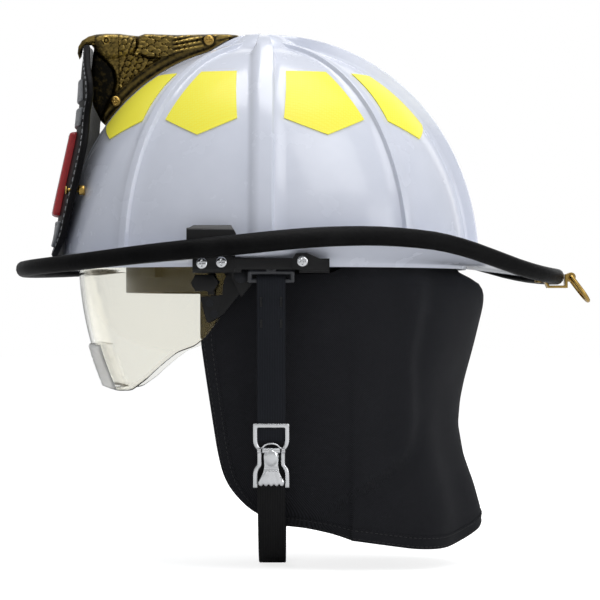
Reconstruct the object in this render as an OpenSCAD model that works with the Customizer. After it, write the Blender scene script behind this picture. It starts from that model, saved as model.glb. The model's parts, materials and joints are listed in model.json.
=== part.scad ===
// Traditional fire helmet, millimetres.
// +Z up, -X is the front, -Y the wearer's left. The origin is the centre of the head
// opening in the plane of the shell's rim.

/* [Dome] */
// Rim plane to the top of the dome between its ribs
dome_h = 156; // [150:1:162]
// Head centre to the front of the dome
dome_front = 138; // [135:1:141]
// Head centre to the rear of the dome
dome_rear = 143; // [140:1:148]
// Half the width of the dome
dome_side = 113; // [111:1:116]
// Wall of the moulded shell
wall = 3; // [2.4:0.1:3.4]
// Height of the centre comb above the dome
comb_h = 9; // [7:0.5:10]
// Half the width of the centre comb
comb_w = 14; // [12:0.5:16]
// Height of the rib over each ear
side_rib_h = 4; // [2:0.5:5]
// Height of each diagonal rib
diagonal_rib_h = 3; // [2:0.5:4]

/* [Brim] */
// Head centre to the front edge of the brim's moulding
brim_front = 168; // [162:1:174]
// Head centre to the rear edge of the brim's moulding
brim_rear = 208; // [200:1:214]
// Half the width of the brim's moulding
brim_side = 134; // [132:1:138]
// Height of the brim's underside where it leaves the dome
brim_root = 2.6; // [2:0.1:3.2]
// Half the height of the edge roll over the ears
roll_side = 7.2; // [6:0.1:8]
// Half the height of the edge roll at the front and rear tips
roll_tip = 5.4; // [4.5:0.1:6]

/* [Front piece] */
// Thickness of the leather front piece
leather = 4.5; // [3.5:0.1:5.5]
// Thickness of the raised number panel
panel_t = 4.5; // [3:0.1:5.5]
// Half the width of the number panel
panel_w = 30; // [26:1:34]

/* [Visor] */
// Thickness of the lens
lens_t = 2.5; // [2:0.1:3]
// Half the width of the lens outside
lens_w = 97; // [95:0.5:98]
// Thickness of each side arm
arm_t = 3; // [2.5:0.1:3.2]
// Radius of the pivot pins
pivot_r = 2.5; // [2:0.1:3]
// How far the pivot lies in front of the ears
pivot_x = 12.4; // [11:0.2:14]
// How far the pivot lies below the rim
pivot_z = 6.1; // [5.6:0.1:6.6]

/* [Chin strap] */
// Width of the strap above the buckle
webbing = 19; // [18:0.5:20]
// Thickness of the webbing
webbing_t = 2; // [1.6:0.1:2.2]
// Lowest point of the strap's middle line
strap_drop = 203.3; // [195:1:210]
// Lean of the strap towards the chin, in degrees
strap_lean = 10; // [8:0.5:12]
// Overall width of the buckle
buckle_w = 24.3; // [23.5:0.1:26]
// Thickness of the buckle's plate
buckle_t = 1.6; // [1.2:0.1:1.8]

/* [Headband and liner] */
// Front of the headband from the head centre
band_front = 95; // [92:0.5:97]
// Rear of the headband from the head centre
band_rear = 106; // [104:0.5:108]
// Half the width of the headband
band_side = 80; // [78:0.5:82]
// Height of the headband
band_h = 24; // [20:1:28]
// Lower edge of the headband below the rim
band_low = 16; // [14:0.5:18]
// Thickness of the impact liner
liner_t = 10; // [8:0.5:12]
// Radius of the ratchet knob
knob_r = 14.5; // [13:0.5:15]

/* [Neck cover] */
// Thickness of the quilted cloth
cloth_t = 2.6; // [2:0.1:3]
// Bulge of the cloth behind the brim's root
cover_rear = 161; // [156:1:164]

/* [Hanging ring] */
// Wire radius of the hanging ring
ring_wire = 1.5; // [1.2:0.1:1.8]
// Half the width of the hanging ring, on its wire's middle line
ring_w = 10.5; // [9:0.5:12]

/* [Hidden] */
gap = 0.3;
$fn = 48;
LEFT = 1;
RIGHT = -1;

// Curves of the dome and the brim, as superellipses about the head centre.
dome_n = 2.1;
brim_front_n = 2.2;
brim_rear_n = 1.8;
function unit(v) = v / norm(v);
function mix(a, b, t) = a + (b - a) * t;
function smooth(t) = let (c = min(1, max(0, t))) c * c * (3 - 2 * c);
function plan_r(a, front, rear, side, n) =
    pow(pow(abs(cos(a)) / (cos(a) < 0 ? front : rear), n) + pow(abs(sin(a)) / side, n), -1 / n);
function rise(phi, n) = pow(sin(phi), 2 / n);
function reach(phi, n) = pow(cos(phi), 2 / n);

// A point of the dome at plan angle a and height angle phi, moved out by off.
function dome(a, phi, off) = let (
    r = plan_r(a, dome_front, dome_rear, dome_side, dome_n) * reach(phi, dome_n),
    p = [r * cos(a), r * sin(a), dome_h * rise(phi, dome_n)],
    ax = cos(a) < 0 ? dome_front : dome_rear,
    n = unit([p.x / (ax * ax), p.y / (dome_side * dome_side), p.z / (dome_h * dome_h)]))
    p + off * n;

// Eight ribs, from the rear comb round by the right side: angle, half width, height, widest angle.
RIBS = [[0, comb_w, comb_h, 20], [40, 4, diagonal_rib_h, 8], [90, 10, side_rib_h, 14],
    [136.5, 4, diagonal_rib_h, 8], [180, comb_w, comb_h, 20], [223.5, 4, diagonal_rib_h, 8],
    [270, 10, side_rib_h, 14], [320, 4, diagonal_rib_h, 8]];
RIB_U = [-1, -0.72, 0, 0.72, 1];
RIB_V = [0, 0.8, 1, 0.8, 0];
PANEL_COLS = 3;
COLS = [for (k = [0:7]) each [for (j = [0:4]) [k, j, 0],
    for (m = [1:PANEL_COLS]) [k, 5, m / (PANEL_COLS + 1)]]];
RINGS = [6, 11, 17, 24, 31, 39, 47, 55, 63, 70, 76, 81, 85.5];
function half_angle(k, phi) = min(RIBS[k][3], asin(min(1, RIBS[k][1] / max(1,
    plan_r(RIBS[k][0], dome_front, dome_rear, dome_side, dome_n) * reach(phi, dome_n)))));
function col_angle(c, phi) = c[1] < 5
    ? RIBS[c[0]][0] + RIB_U[c[1]] * half_angle(c[0], phi)
    : let (k = c[0], m = (k + 1) % 8)
        mix(RIBS[k][0] + half_angle(k, phi),
            RIBS[m][0] + (m == 0 ? 360 : 0) - half_angle(m, phi), c[2]);
// The front comb dies away under the holder, and all ribs meet in the crown.
function comb_fade(k, phi) = k == 4 ? mix(0.1, 1, smooth((phi - 79) / 6)) : 1;
function rib_rise(c, phi) = max(comb_h * smooth((phi - 72) / 15),
    c[1] < 5 ? RIBS[c[0]][2] * RIB_V[c[1]] * comb_fade(c[0], phi) : 0);
function shell_point(c, phi, off) = dome(col_angle(c, phi), phi, rib_rise(c, phi) + off);

// Height of the brim's edge along the helmet, smoothed.
EDGE_Z = [[-174, -0.6], [-135, 2.2], [-106, 5.1], [-72, 9], [-37, 12.4], [-1, 16.2], [27, 19.6],
    [59, 21.4], [79, 21.4], [95, 20.9], [129, 16.9], [168, 3.3], [190, -3.9], [214, -5.6]];
function edge_z(x) = (lookup(x - 12, EDGE_Z) + lookup(x, EDGE_Z) + lookup(x + 12, EDGE_Z)) / 3;
function edge_point(a) = let (r = plan_r(a, brim_front, brim_rear, brim_side,
    cos(a) < 0 ? brim_front_n : brim_rear_n), p = [r * cos(a), r * sin(a)]) [p.x, p.y, edge_z(p.x)];
function root_point(a) = let (p = dome(a, 0, 0)) [p.x, p.y, brim_root + wall / 2];
function brim_mid(a, s) = mix(root_point(a), edge_point(a), s);
// How far out the roll's slot begins, as a share of the brim.
function lip(a) = 1 - 6 / norm(edge_point(a) - root_point(a));
function under(a, s) = brim_mid(a, s) - [0, 0, wall / 2];
function over(a, s) = brim_mid(a, s) + [0, 0, wall / 2];

// Skins a stack of closed rings, with a tip at each end or as a closed loop.
module skin(rings, tip0 = undef, tip1 = undef, loop = false) {
    n = len(rings[0]);
    m = len(rings);
    points = concat([for (r = rings) each r], loop ? [] : [tip0, tip1]);
    sides = [for (i = [0:loop ? m - 1 : m - 2], j = [0:n - 1])
        let (a = i * n + j, b = i * n + (j + 1) % n, u = (i + 1) % m,
            c = u * n + (j + 1) % n, d = u * n + j)
        each [[a, b, c], [a, c, d]]];
    ends = loop ? [] : concat([for (j = [0:n - 1]) [m * n, (j + 1) % n, j]],
        [for (j = [0:n - 1]) [m * n + 1, (m - 1) * n + j, (m - 1) * n + (j + 1) % n]]);
    polyhedron(points, concat(sides, ends), convexity = 8);
}

// A closed sheet between two grids of points, front[row][column] and back[row][column].
module sheet(front, back) {
    m = len(front);
    n = len(front[0]);
    s = m * n;
    grid = [for (i = [0:m - 2], j = [0:n - 2]) let (a = i * n + j, b = a + 1, c = a + n + 1, d = a + n)
        each [[a, b, c], [a, c, d], [s + a, s + c, s + b], [s + a, s + d, s + c]]];
    across = [for (i = [0, m - 1], j = [0:n - 2]) let (a = i * n + j, b = a + 1)
        each i == 0 ? [[a, s + a, s + b], [a, s + b, b]] : [[a, s + b, s + a], [a, b, s + b]]];
    down = [for (i = [0:m - 2], j = [0, n - 1]) let (a = i * n + j, d = a + n)
        each j == 0 ? [[a, s + d, s + a], [a, d, s + d]] : [[a, s + a, s + d], [a, s + d, d]]];
    polyhedron([for (r = front) each r, for (r = back) each r],
        concat(grid, across, down), convexity = 8);
}

// A second copy on the wearer's other side.
module side(s) {
    mirror([0, s == LEFT ? 0 : 1, 0]) children();
}

module shell() color("whitesmoke") {
    fillet = 2.5;
    inner = [for (i = [len(RINGS) - 1:-1:0]) [for (c = COLS) shell_point(c, RINGS[i], -wall)]];
    rim = [[for (c = COLS) dome(col_angle(c, 0), 0, -wall)], [for (c = COLS) dome(col_angle(c, 0), 0, 0)]];
    flange = [[for (c = COLS) under(col_angle(c, 0), 0.02) + [0, 0, 0]],
        [for (c = COLS) under(col_angle(c, 0), 0.5)],
        [for (c = COLS) let (a = col_angle(c, 0)) under(a, lip(a))],
        [for (c = COLS) under(col_angle(c, 0), 1)],
        [for (c = COLS) over(col_angle(c, 0), 1)],
        [for (c = COLS) let (a = col_angle(c, 0)) over(a, lip(a))],
        [for (c = COLS) over(col_angle(c, 0), 0.5)],
        [for (c = COLS) let (p = shell_point(c, 0, fillet)) [p.x, p.y, brim_root + wall + 1]]];
    outer = [for (phi = concat([3], RINGS)) [for (c = COLS) shell_point(c, phi, 0)]];
    skin(concat(inner, rim, flange, outer), [0, 0, dome_h + comb_h - wall], [0, 0, dome_h + comb_h]);
}

// Section of the edge roll, as distance out of the moulding's edge and height in roll heights.
ROLL = [[-6, 0.42], [-5, 0.8], [-2, 1], [1.6, 0.72], [3.3, 0], [1.6, -0.72], [-2, -1], [-5, -0.8],
    [-6, -0.42]];
module brim_roll() color("#1c1c1c") {
    slot = wall / 2 + 0.4;
    rings = [for (c = COLS) let (a = col_angle(c, 0), e = brim_mid(a, 1), o = unit(e - brim_mid(a, 0.8)),
        u = unit(cross(o, [-sin(a), cos(a), 0])) * -1,
        h = mix(roll_tip, roll_side, smooth(1 - abs(e.x - 20) / 190)))
        concat([for (p = ROLL) e + o * p[0] + u * h * p[1]],
            [e - o * 6 - u * slot, e + o * 1.1 - u * slot, e + o * 1.1 + u * slot, e - o * 6 + u * slot])];
    skin([for (i = [len(rings) - 1:-1:0]) rings[i]], loop = true);
}

// Reflective panels between the ribs: the height angles of the four corners and the low point.
module reflective_panels() color("#f2ee4a")
    for (k = [0:7]) reflective_panel(k);

module reflective_panel(k) {
    m = (k + 1) % 8;
    low = 38.7;
    point = 33.5;
    high = 58.2;
    film = 0.4;
    steps = 6;
    function at(u, v, off) = let (
        lower = mix(low, point, 1 - abs(2 * u - 1)), phi = mix(lower, high, v),
        margin = mix(0.09, 0.17, v),
        a = mix(RIBS[k][0] + half_angle(k, phi), RIBS[m][0] + (m == 0 ? 360 : 0) - half_angle(m, phi),
            mix(margin, 1 - margin, u))) dome(a, phi, off);
    front = [for (v = [0:steps]) [for (u = [0:steps]) at(u / steps, v / steps, film + gap)]];
    back = [for (v = [0:steps]) [for (u = [0:steps]) at(u / steps, v / steps, gap)]];
    sheet(front, back);
}

// Extrudes a side view, drawn as [x, z], over the wearer's left between two distances.
module across(y0, y1, points) {
    translate([0, -y0, 0]) rotate([90, 0, 0]) linear_extrude(y1 - y0) polygon(points);
}

// Extrudes a section on the wearer's left, drawn as [distance, z], from x0 to x1.
module along(x0, x1, points) {
    translate([x0, 0, 0]) rotate([90, 0, 90]) linear_extrude(x1 - x0)
        polygon([for (p = points) [-p.x, p.y]]);
}

// A rod on the wearer's left between two distances from the middle plane.
module rod(x, z, y0, y1, r, fn = 24) {
    translate([x, -y0, z]) rotate([90, 0, 0]) cylinder(h = y1 - y0, r = r, $fn = fn);
}

// Leather front piece: its middle line outside, its setback at the edges and its half width.
FRONT_X = [[8, -147.5], [14, -146], [24, -143.5], [38, -142], [50, -139.5], [70, -135], [95, -129.5],
    [115, -127.5], [140, -126], [150, -124.6], [158, -124.4]];
FRONT_W = [[9, 20], [14, 36], [24, 46], [38, 52], [60, 55], [84, 55], [98, 50], [107, 49], [118, 53],
    [128, 49], [138, 39], [148, 26], [156.5, 12]];
FRONT_ROWS = [9, 14, 24, 38, 60, 84, 98, 107, 118, 128, 138, 148, 156.5];
function front_point(y, z, off) = let (n = unit([-1, y / 150]))
    [lookup(z, FRONT_X) + y * y / 300 + off * n.x, y + off * n.y, z];
module front_piece() color("#1a1a1c") {
    steps = 10;
    difference() {
        sheet([for (z = FRONT_ROWS) [for (u = [-steps:steps])
                front_point(-lookup(z, FRONT_W) * u / steps, z, 0)]],
            [for (z = FRONT_ROWS) [for (u = [-steps:steps])
                front_point(-lookup(z, FRONT_W) * u / steps, z, -leather)]]);
        for (s = [-1, 1]) translate([-160, s * screw_y, screw_z]) rotate([0, 90, 0])
            cylinder(h = 60, r = 1.6, $fn = 16);
    }
}
screw_y = 47;
screw_z = 53.6;
module front_patch(z0, z1, w0, w1, t0, t1, steps = 8) {
    function at(u, v, off) = front_point(-mix(w0, w1, v) * u, mix(z0, z1, v), off);
    sheet([for (v = [0:4]) [for (u = [-steps:steps]) at(u / steps, v / 4, t1)]],
        [for (v = [0:4]) [for (u = [-steps:steps]) at(u / steps, v / 4, t0)]]);
}
module front_banners() color("#77787c") {
    front_patch(90 + panel_t + 4, 111, 40, 42, gap, gap + 1.4);
    front_patch(116, 131, 40, 33, gap, gap + 1.4);
    front_patch(16, 33, 30, 40, gap, gap + 1.4);
}
module number_panel() color("#b3202a") {
    front_patch(37, 95, panel_w, panel_w - 3, gap, gap + panel_t);
}
module front_piece_screws() color("#9c7a35") {
    x = lookup(screw_z, FRONT_X) + screw_y * screw_y / 300;
    for (s = [-1, 1]) translate([x, s * screw_y, screw_z]) rotate([0, 90, 0]) {
        translate([0, 0, -2.4]) cylinder(h = 1.4, r = 3, $fn = 24);
        translate([0, 0, -2.4]) cylinder(h = 13.2, r = 1.5, $fn = 16);
        translate([0, 0, leather + 2.2]) cylinder(h = 4.2, r = 3.4, $fn = 24);
    }
}

// Cast holder on the front of the comb, its lower edge lying along the comb.
HOLDER_TOP = [[-15, 164], [-34, 165], [-60, 164.2], [-92, 165], [-109, 165]];
HOLDER_RINGS = [39, 47, 55, 63, 70, 76, 81];
function comb_line(phi, off) = let (p = dome(180, phi, rib_rise([4, 2, 0], phi) + off))
    [p.x, min(p.z, 165)];
holder_w = 8;
module front_holder() color("#6b5a2c") {
    low = [for (phi = HOLDER_RINGS) comb_line(phi, gap)];
    top = [for (i = [6:-1:0]) comb_line(HOLDER_RINGS[i], 9)];
    difference() {
        union() {
            // Foot lying along the dome, and the raised figure on it
            across(-holder_w, holder_w, concat(low, top));
            across(-5, 5, concat(low, HOLDER_TOP,
                [[-116, 160], [-114, 150], [-104, 142], [-102, 130], [-108, 116], [-112, 104]]));
            across(-10.4, 10.4, [[-46, 163.6], [-92, 163.6], [-86, 150], [-70, 147], [-54, 153]]);
            // Thin web behind the front piece
            across(-2, 2, [[-112.4, 160], [-116.4, 150], [-117.4, 138], [-117, 122], [-112, 104],
                [-108.5, 105.5], [-104.5, 112], [-99, 118], [-98, 140]]);
            // Beak over the front piece
            across(-3, 3, [[-108, 165], [-118, 164.6], [-126, 161.6], [-129, 155], [-128, 147.6],
                [-125.3, 147.6], [-125.3, 155], [-124.6, 158], [-119, 160.6], [-108, 160]]);
        }
        for (p = HOLDER_SCREWS) rod(p.x, p.y, -40, 40, 1.6, 16);
    }
}
HOLDER_SCREWS = [[-37, 160.2], [-102.2, 117.6]];
module holder_screws() color("#9c7a35")
    for (p = HOLDER_SCREWS) {
        rod(p.x, p.y, -holder_w - 1.6, holder_w + 1.6, 1.5, 16);
        rod(p.x, p.y, holder_w + gap, holder_w + 2.2, 3.6, 24);
        rod(p.x, p.y, -holder_w - 2.2, -holder_w - gap, 3.6, 24);
    }

// Impact liner: a foam cap held off the shell so that the visor can rise between them.
cap_front = 106;
cap_rear = 120;
cap_side = 88;
cap_h = 134;
cap_base = 3.8;
function cap_point(a, phi, off) = let (r = plan_r(a, cap_front + off, cap_rear + off,
    cap_side + off, dome_n) * reach(phi, dome_n)) [r * cos(a), r * sin(a), (cap_h + off) * rise(phi, dome_n)];
module impact_liner() color("#3c3d40") {
    turns = [for (a = [0:10:350]) a];
    low = cap_point(0, cap_base, 0).z;
    skin(concat([for (phi = [84:-12:12]) [for (a = turns) cap_point(a, phi, -liner_t)]],
        [for (d = [-liner_t, 0]) [for (a = turns) let (p = cap_point(a, cap_base, d)) [p.x, p.y, low]]],
        [for (phi = [12:12:84]) [for (a = turns) cap_point(a, phi, 0)]]),
        [0, 0, cap_h - liner_t], [0, 0, cap_h]);
}
// Spacers glued between the liner and the shell
module liner_spacers() color("#2e2f32") {
    translate([0, 0, cap_h + gap])
        cylinder(h = dome_h + comb_h - wall - 1 - cap_h - gap, r = 10, $fn = 32);
    for (a = [18, 342]) liner_block(a, 1.05);
    for (a = [62, 298]) liner_block(a, 0.25);
}
function normal_turn(p) = let (ax = p.x < 0 ? dome_front : dome_rear)
    atan2(p.y / (dome_side * dome_side), p.x / (ax * ax));
module liner_block(a, free) {
    q = dome(a, 18, -wall);
    p = cap_point(a, 18, 0);
    d = (norm([q.x, q.y]) - norm([p.x, p.y])) * cos(normal_turn(q) - a);
    translate([q.x, q.y, q.z - 8]) rotate([0, 0, normal_turn(q)])
        translate([1.6 - d, -11, 0]) cube([d - 4.4 - free, 22, 16]);
}
module crown_straps() color("#26272a") {
    for (a = [62, 118]) crown_strap(a);
}
module crown_strap(a) {
    half = webbing / 2;
    function turn(q) = let (x = cos(q) < 0 ? cap_front : cap_rear)
        atan2(sin(q) / (cap_side * cap_side), cos(q) / (x * x));
    function at(t, v, off) = let (s = t < 0 ? a : a + 180, c = t < 0 ? 1 : -1,
        p = cap_point(s, 90 - abs(t), -liner_t - off), b = turn(s))
        p + c * [-sin(b), cos(b), 0] * v * half;
    path = [-84, -74, -62, -50, -38, -26, -14, -5, 5, 14, 26, 38, 50, 62, 74, 84];
    sheet([for (v = [-1, 1]) [for (t = path) at(t, v, 1.2)]],
        [for (v = [-1, 1]) [for (t = path) at(t, v, 2.6)]]);
}

// Headband: two half circles joined by straight sides, open at the back behind the tails.
front_c = band_side - band_front;
rear_c = band_rear - band_side;
module band_ring(r, t, z0, z1) {
    translate([0, 0, z0]) linear_extrude(z1 - z0) difference() {
        union() {
            translate([front_c, 0]) circle(r, $fn = 64);
            translate([rear_c, 0]) circle(r, $fn = 64);
            translate([front_c, -r]) square([rear_c - front_c, 2 * r]);
        }
        translate([front_c, 0]) circle(r - t, $fn = 64);
        translate([rear_c, 0]) circle(r - t, $fn = 64);
        translate([front_c, t - r]) square([rear_c - front_c, 2 * (r - t)]);
    }
}
// Keeps what lies between two angles about an axis standing at x.
module wedge(x, a0, a1, z0, z1) {
    translate([x, 0, z0]) linear_extrude(z1 - z0) polygon(concat([[0, 0]],
        [for (i = [0:4]) 150 * [cos(mix(a0, a1, i / 4)), sin(mix(a0, a1, i / 4))]]));
}
band_top = band_h - band_low;
module headband() color("#242527") difference() {
    band_ring(band_side, 2, -band_low, band_top);
    wedge(rear_c, -13, 13, -band_low - 1, band_top + 1);
}
module brow_pad() color("#4a3b2f") intersection() {
    band_ring(band_side - 2 - gap, 3, -band_low, band_top);
    wedge(front_c, 138, 222, -band_low - 1, band_top + 1);
}
CLIPS = [40, 90, 135, 225, 270, 320];
module suspension_clips() color("#1f2022") for (a = CLIPS) suspension_clip(a);
module suspension_clip(a) intersection() {
    band_ring(band_side + 7, 6.7, -6, cap_point(0, cap_base, 0).z - gap);
    translate([a == 90 || a == 270 ? 0 : a > 90 && a < 270 ? front_c : rear_c, 0, -10])
        rotate([0, 0, a]) translate([0, -7, 0]) cube([120, 14, 30]);
}

// Ratchet: two tails pass each other in the housing, driven by a pinion between them.
ratchet_z = -band_low + band_h / 2 - 1;
pinion_r = 2.8;
tail_h = 5.4;
tail_r = band_side - 2 - gap;
module band_tail(s) intersection() {
    z = ratchet_z + (s == LEFT ? pinion_r + 0.1 : -pinion_r - 0.1 - tail_h);
    translate([rear_c, 0, z]) difference() {
        cylinder(h = tail_h, r = tail_r, $fn = 64);
        translate([0, 0, -1]) cylinder(h = tail_h + 2, r = tail_r - 1.8, $fn = 64);
    }
    side(s) wedge(rear_c, -46, 12, z - 1, z + tail_h + 1);
}
module band_tail_left() color("#2d2e31") band_tail(LEFT);
module band_tail_right() color("#2d2e31") band_tail(RIGHT);
house_x = band_rear + gap;
house_h = 26;
module ratchet_housing() color("#202124") difference() {
    translate([house_x, -27, ratchet_z - house_h / 2]) cube([7, 54, house_h]);
    translate([0, 0, ratchet_z]) rotate([0, 90, 0]) cylinder(h = 200, r = pinion_r + 0.05, $fn = 32);
    // Cut to the curve of the headband
    translate([rear_c, 0, ratchet_z - 20]) cylinder(h = 40, r = band_side + gap, $fn = 64);
}
module ratchet_cover() color("#2a2b2e") difference() {
    translate([house_x + 7 + gap, 0, ratchet_z]) rotate([0, 90, 0]) cylinder(h = 2, r = 13, $fn = 48);
    translate([0, 0, ratchet_z]) rotate([0, 90, 0]) cylinder(h = 200, r = pinion_r + 0.05, $fn = 32);
}
module ratchet_knob() color("#151618") {
    x = house_x + 9 + 2 * gap;
    translate([x, 0, ratchet_z]) rotate([0, 90, 0]) difference() {
        cylinder(h = 9, r = knob_r, $fn = 60);
        for (i = [0:11]) rotate([0, 0, i * 30]) translate([knob_r + 1.4, 0, -1])
            cylinder(h = 12, r = 2.6, $fn = 16);
        translate([0, 0, 7.6]) cylinder(h = 3, r = knob_r - 5, $fn = 48);
    }
}
module ratchet_pinion() color("#8d8f93") {
    x = tail_r + rear_c - 4;
    end = house_x + 9 + gap;
    translate([x, 0, ratchet_z]) rotate([0, 90, 0]) cylinder(h = end - x, r = pinion_r, $fn = 32);
}

// Strap brackets: one moulding that passes under the rim, with the visor's hanger inside
// and the strap ring's stud outside.
strap_x = 7.5;
stud_z = -0.5;
stud_r = 1.8;
ring_y = 117.3;
in_y = 100.1;
px = -pivot_x;
pz = -pivot_z;
module strap_bracket(s) side(s) difference() {
    union() {
        // Bridges under the rim, before and behind the ring
        along(-44, -12, [[in_y, -4], [in_y, -gap], [121, -gap], [121, -4]]);
        along(26, 46, [[in_y, -4], [in_y, -gap], [120, -gap], [119, -4]]);
        // Hanger for the visor, inside the rim
        across(in_y, in_y + arm_t, [[px - 7, -gap], [px + 14, -gap], [px + 8, pz - 4], [px, pz - 14],
            [px - 6, pz - 2]]);
        rod(px, pz, in_y, in_y + arm_t, 5.7, 32);
        // Front pad with two screws
        along(-44, -16, [[113.3, -1], [113.3, 2], [117, 4], [122, 7], [123, 7], [123, -2], [121, -4]]);
        // Bar in front of the ring, and the wall behind it
        along(-16, 31, [[119.8, -2], [119.8, 5.2], [121.8, 5.6], [121.8, -2]]);
        along(-16, -12, [[113.3, -4], [113.3, 2], [121, 5], [121, -4]]);
        along(-12, 31, [[113.3, -1.2], [113.3, 2.2], [114.6, 2.8], [114.6, -1.2]]);
        along(26, 46, [[113.3, -4], [113.3, 2.2], [121, 5.2], [121, -3]]);
        // Hump behind the ring
        across(120.5, 126, [[22, -1], [22, 6], [24, 8.4], [31, 8.8], [45, 2.8], [45, -3], [31, -3]]);
        rod(strap_x, stud_z, 114, 121, stud_r, 24);
    }
    rod(px, pz, 90, 112, pivot_r + 0.05, 32);
    rod(px, pz, in_y + arm_t, in_y + arm_t + 3, 5.4, 32);
    for (p = SCREWS) rod(p.x, p.y, p.z - 9, p.z + 5, 1.75, 16);
}
module strap_bracket_left() color("#202124") strap_bracket(LEFT);
module strap_bracket_right() color("#202124") strap_bracket(RIGHT);
SCREWS = [[-37.8, 2, 123], [-25, 2.7, 123], [28.2, 3.3, 126]];
module bracket_screws() color("#c9ccd1") for (s = [LEFT, RIGHT]) side(s)
    for (p = SCREWS) {
        rod(p.x, p.y, p.z - 7, p.z + 1, 1.7, 16);
        rod(p.x, p.y, p.z + gap, p.z + 2.2, 3.6, 24);
    }
// Pads on the brim over the brackets
module bracket_cap(s) side(s) difference() {
    along(-48, -15.5, [[114.8, 8.8], [114.8, 26.6], [117, 27.4], [120.6, 27], [123, 24], [123, 11.8]]);
    across(100, 140, [[-19, 30], [-19, 27.8], [-15, 21], [-15, 30]]);
    across(100, 140, [[-49, 30], [-49, 25.4], [-46, 25.6], [-43, 27.6], [-43, 30]]);
}
module bracket_cap_left() color("#1d1e20") bracket_cap(LEFT);
module bracket_cap_right() color("#1d1e20") bracket_cap(RIGHT);

// Visor: the lens is an arc about an axis behind the head, its plan a superellipse.
lens_front = 128;
lens_n = 2.4;
arc_x = 115;
arc_z = 14;
LENS_LOW = [[136, -10], [140, -13], [150, -18.9], [163, -21.8], [172, -22.8], [185, -22.6],
    [200, -23.8], [213, -25], [225, -25.6], [235, -24.6], [243, -23.2]];
function lens_plan(t) = let (c = pow(cos(t), 2 / lens_n), s = pow(abs(sin(t)), 2 / lens_n) * sign(t))
    [-lens_front * c, -lens_w * s];
function lens_out(t) = let (p = lens_plan(t), ax = abs(p.x) / lens_front, ay = abs(p.y) / lens_w)
    unit([-pow(ax, lens_n - 1) / lens_front, sign(p.y) * pow(ay, lens_n - 1) / lens_w]);
function lens_point(t, v, off) = let (p = lens_plan(t), n = lens_out(t), r = arc_x - p.x,
    q = mix(asin((2 - arc_z) / r), lookup(r, LENS_LOW), v), ro = r - off * n.x)
    [arc_x - ro * cos(q), p.y + off * n.y, arc_z + ro * sin(q)];
LENS_T = [for (t = [-82:5.125:82]) t];
RIVETS = [[-33.5, -24], [-30.5, -31]];
module visor_lens() color("#cfc9b4") difference() {
    sheet([for (v = [0:7]) [for (t = LENS_T) lens_point(t, v / 7, 0)]],
        [for (v = [0:7]) [for (t = LENS_T) lens_point(t, v / 7, -lens_t)]]);
    for (s = [LEFT, RIGHT]) side(s) for (p = RIVETS) rod(p.x, p.y, 80, 110, 1.35, 16);
}
arm_y = 96.7;
module visor_arm(s) side(s) difference() {
    union() {
        across(arm_y, arm_y + arm_t, [[-39.4, -19.7], [-38.3, -26.5], [-35, -37.3], [-24.5, -31.5],
            [px + 4, pz - 5], [px, pz + 5.6], [-20.5, -2.5], [-24, -8], [-25.2, -18.5]]);
        rod(px, pz, arm_y, arm_y + arm_t, 6.6, 32);
    }
    rod(px, pz, 90, 112, pivot_r + 0.05, 32);
    for (p = RIVETS) rod(p.x, p.y, 80, 110, 1.35, 16);
}
module visor_arm_left() color("#242528") visor_arm(LEFT);
module visor_arm_right() color("#242528") visor_arm(RIGHT);
module lens_rivets() color("#b9bcc1") for (s = [LEFT, RIGHT]) side(s)
    for (p = RIVETS) {
        rod(p.x, p.y, 90.4, arm_y + arm_t + gap + 0.1, 1.3, 16);
        rod(p.x, p.y, arm_y + arm_t + 0.06, arm_y + arm_t + 0.36, 2.6, 24);
        rod(p.x, p.y, 89.6, 90.6, 2.6, 24);
    }
module visor_pivot_pins() color("#b9bcc1") for (s = [LEFT, RIGHT]) side(s) {
    rod(px, pz, arm_y - 2, in_y + arm_t + 1, pivot_r, 32);
    rod(px, pz, arm_y - 2, arm_y - gap, 4.6, 32);
    rod(px, pz, in_y + arm_t + gap, in_y + arm_t + 1.8, 4.6, 32);
}
module visor_latch(s) side(s) translate([-36.5, -95.3, 0]) rotate([0, 0, -7.8]) {
    across(0.3, 3.6, [[-9.5, -10.5], [-6, -5], [6, -5], [9.5, -10.5], [6, -16], [-6, -16]]);
    across(0.3, 2, [[2, -18.6], [6.5, -18.6], [6.5, -1], [2, -1]]);
}
module visor_latch_left() color("#17181a") visor_latch(LEFT);
module visor_latch_right() color("#17181a") visor_latch(RIGHT);

// Strap rings and chin strap. The strap hangs in a leaning line, then runs under the chin.
ring_drop = 8.8;
ring_half = 14;
y1 = ring_y - ring_drop * tan(strap_lean);
z1 = stud_z - ring_drop;
chin_r = (y1 * cos(strap_lean) - (strap_drop + z1) * sin(strap_lean)) / (1 - sin(strap_lean));
chin_z = chin_r - strap_drop;
module hang(s) side(s) translate([strap_x, -y1, z1]) rotate([strap_lean, 0, 0]) children();
module bar(x0, x1, z, r) translate([x0, 0, z]) rotate([0, 90, 0]) cylinder(h = x1 - x0, r = r, $fn = 16);
module strap_ring(s) {
    side(s) difference() {
        union() {
            rod(strap_x, stud_z, ring_y - 1.4, ring_y + 1.4, 3.8, 24);
            along(strap_x - 3, strap_x + 3, [[ring_y - 1.4, stud_z], [ring_y + 1.4, stud_z],
                [ring_y + 0.5, stud_z - 3.7], [ring_y - 1.6, stud_z - 3.7]]);
        }
        rod(strap_x, stud_z, 100, 130, stud_r + 0.05, 24);
    }
    hang(s) {
        bar(-ring_half, ring_half, 0, 1.5);
        bar(-ring_half, ring_half, 5.6, 1.5);
        for (x = [-ring_half, ring_half]) translate([x, 0, 0]) {
            cylinder(h = 5.6, r = 1.5, $fn = 16);
            sphere(1.5, $fn = 16);
            translate([0, 0, 5.6]) sphere(1.5, $fn = 16);
        }
    }
}
module strap_ring_left() color("#303236") strap_ring(LEFT);
module strap_ring_right() color("#303236") strap_ring(RIGHT);

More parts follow.
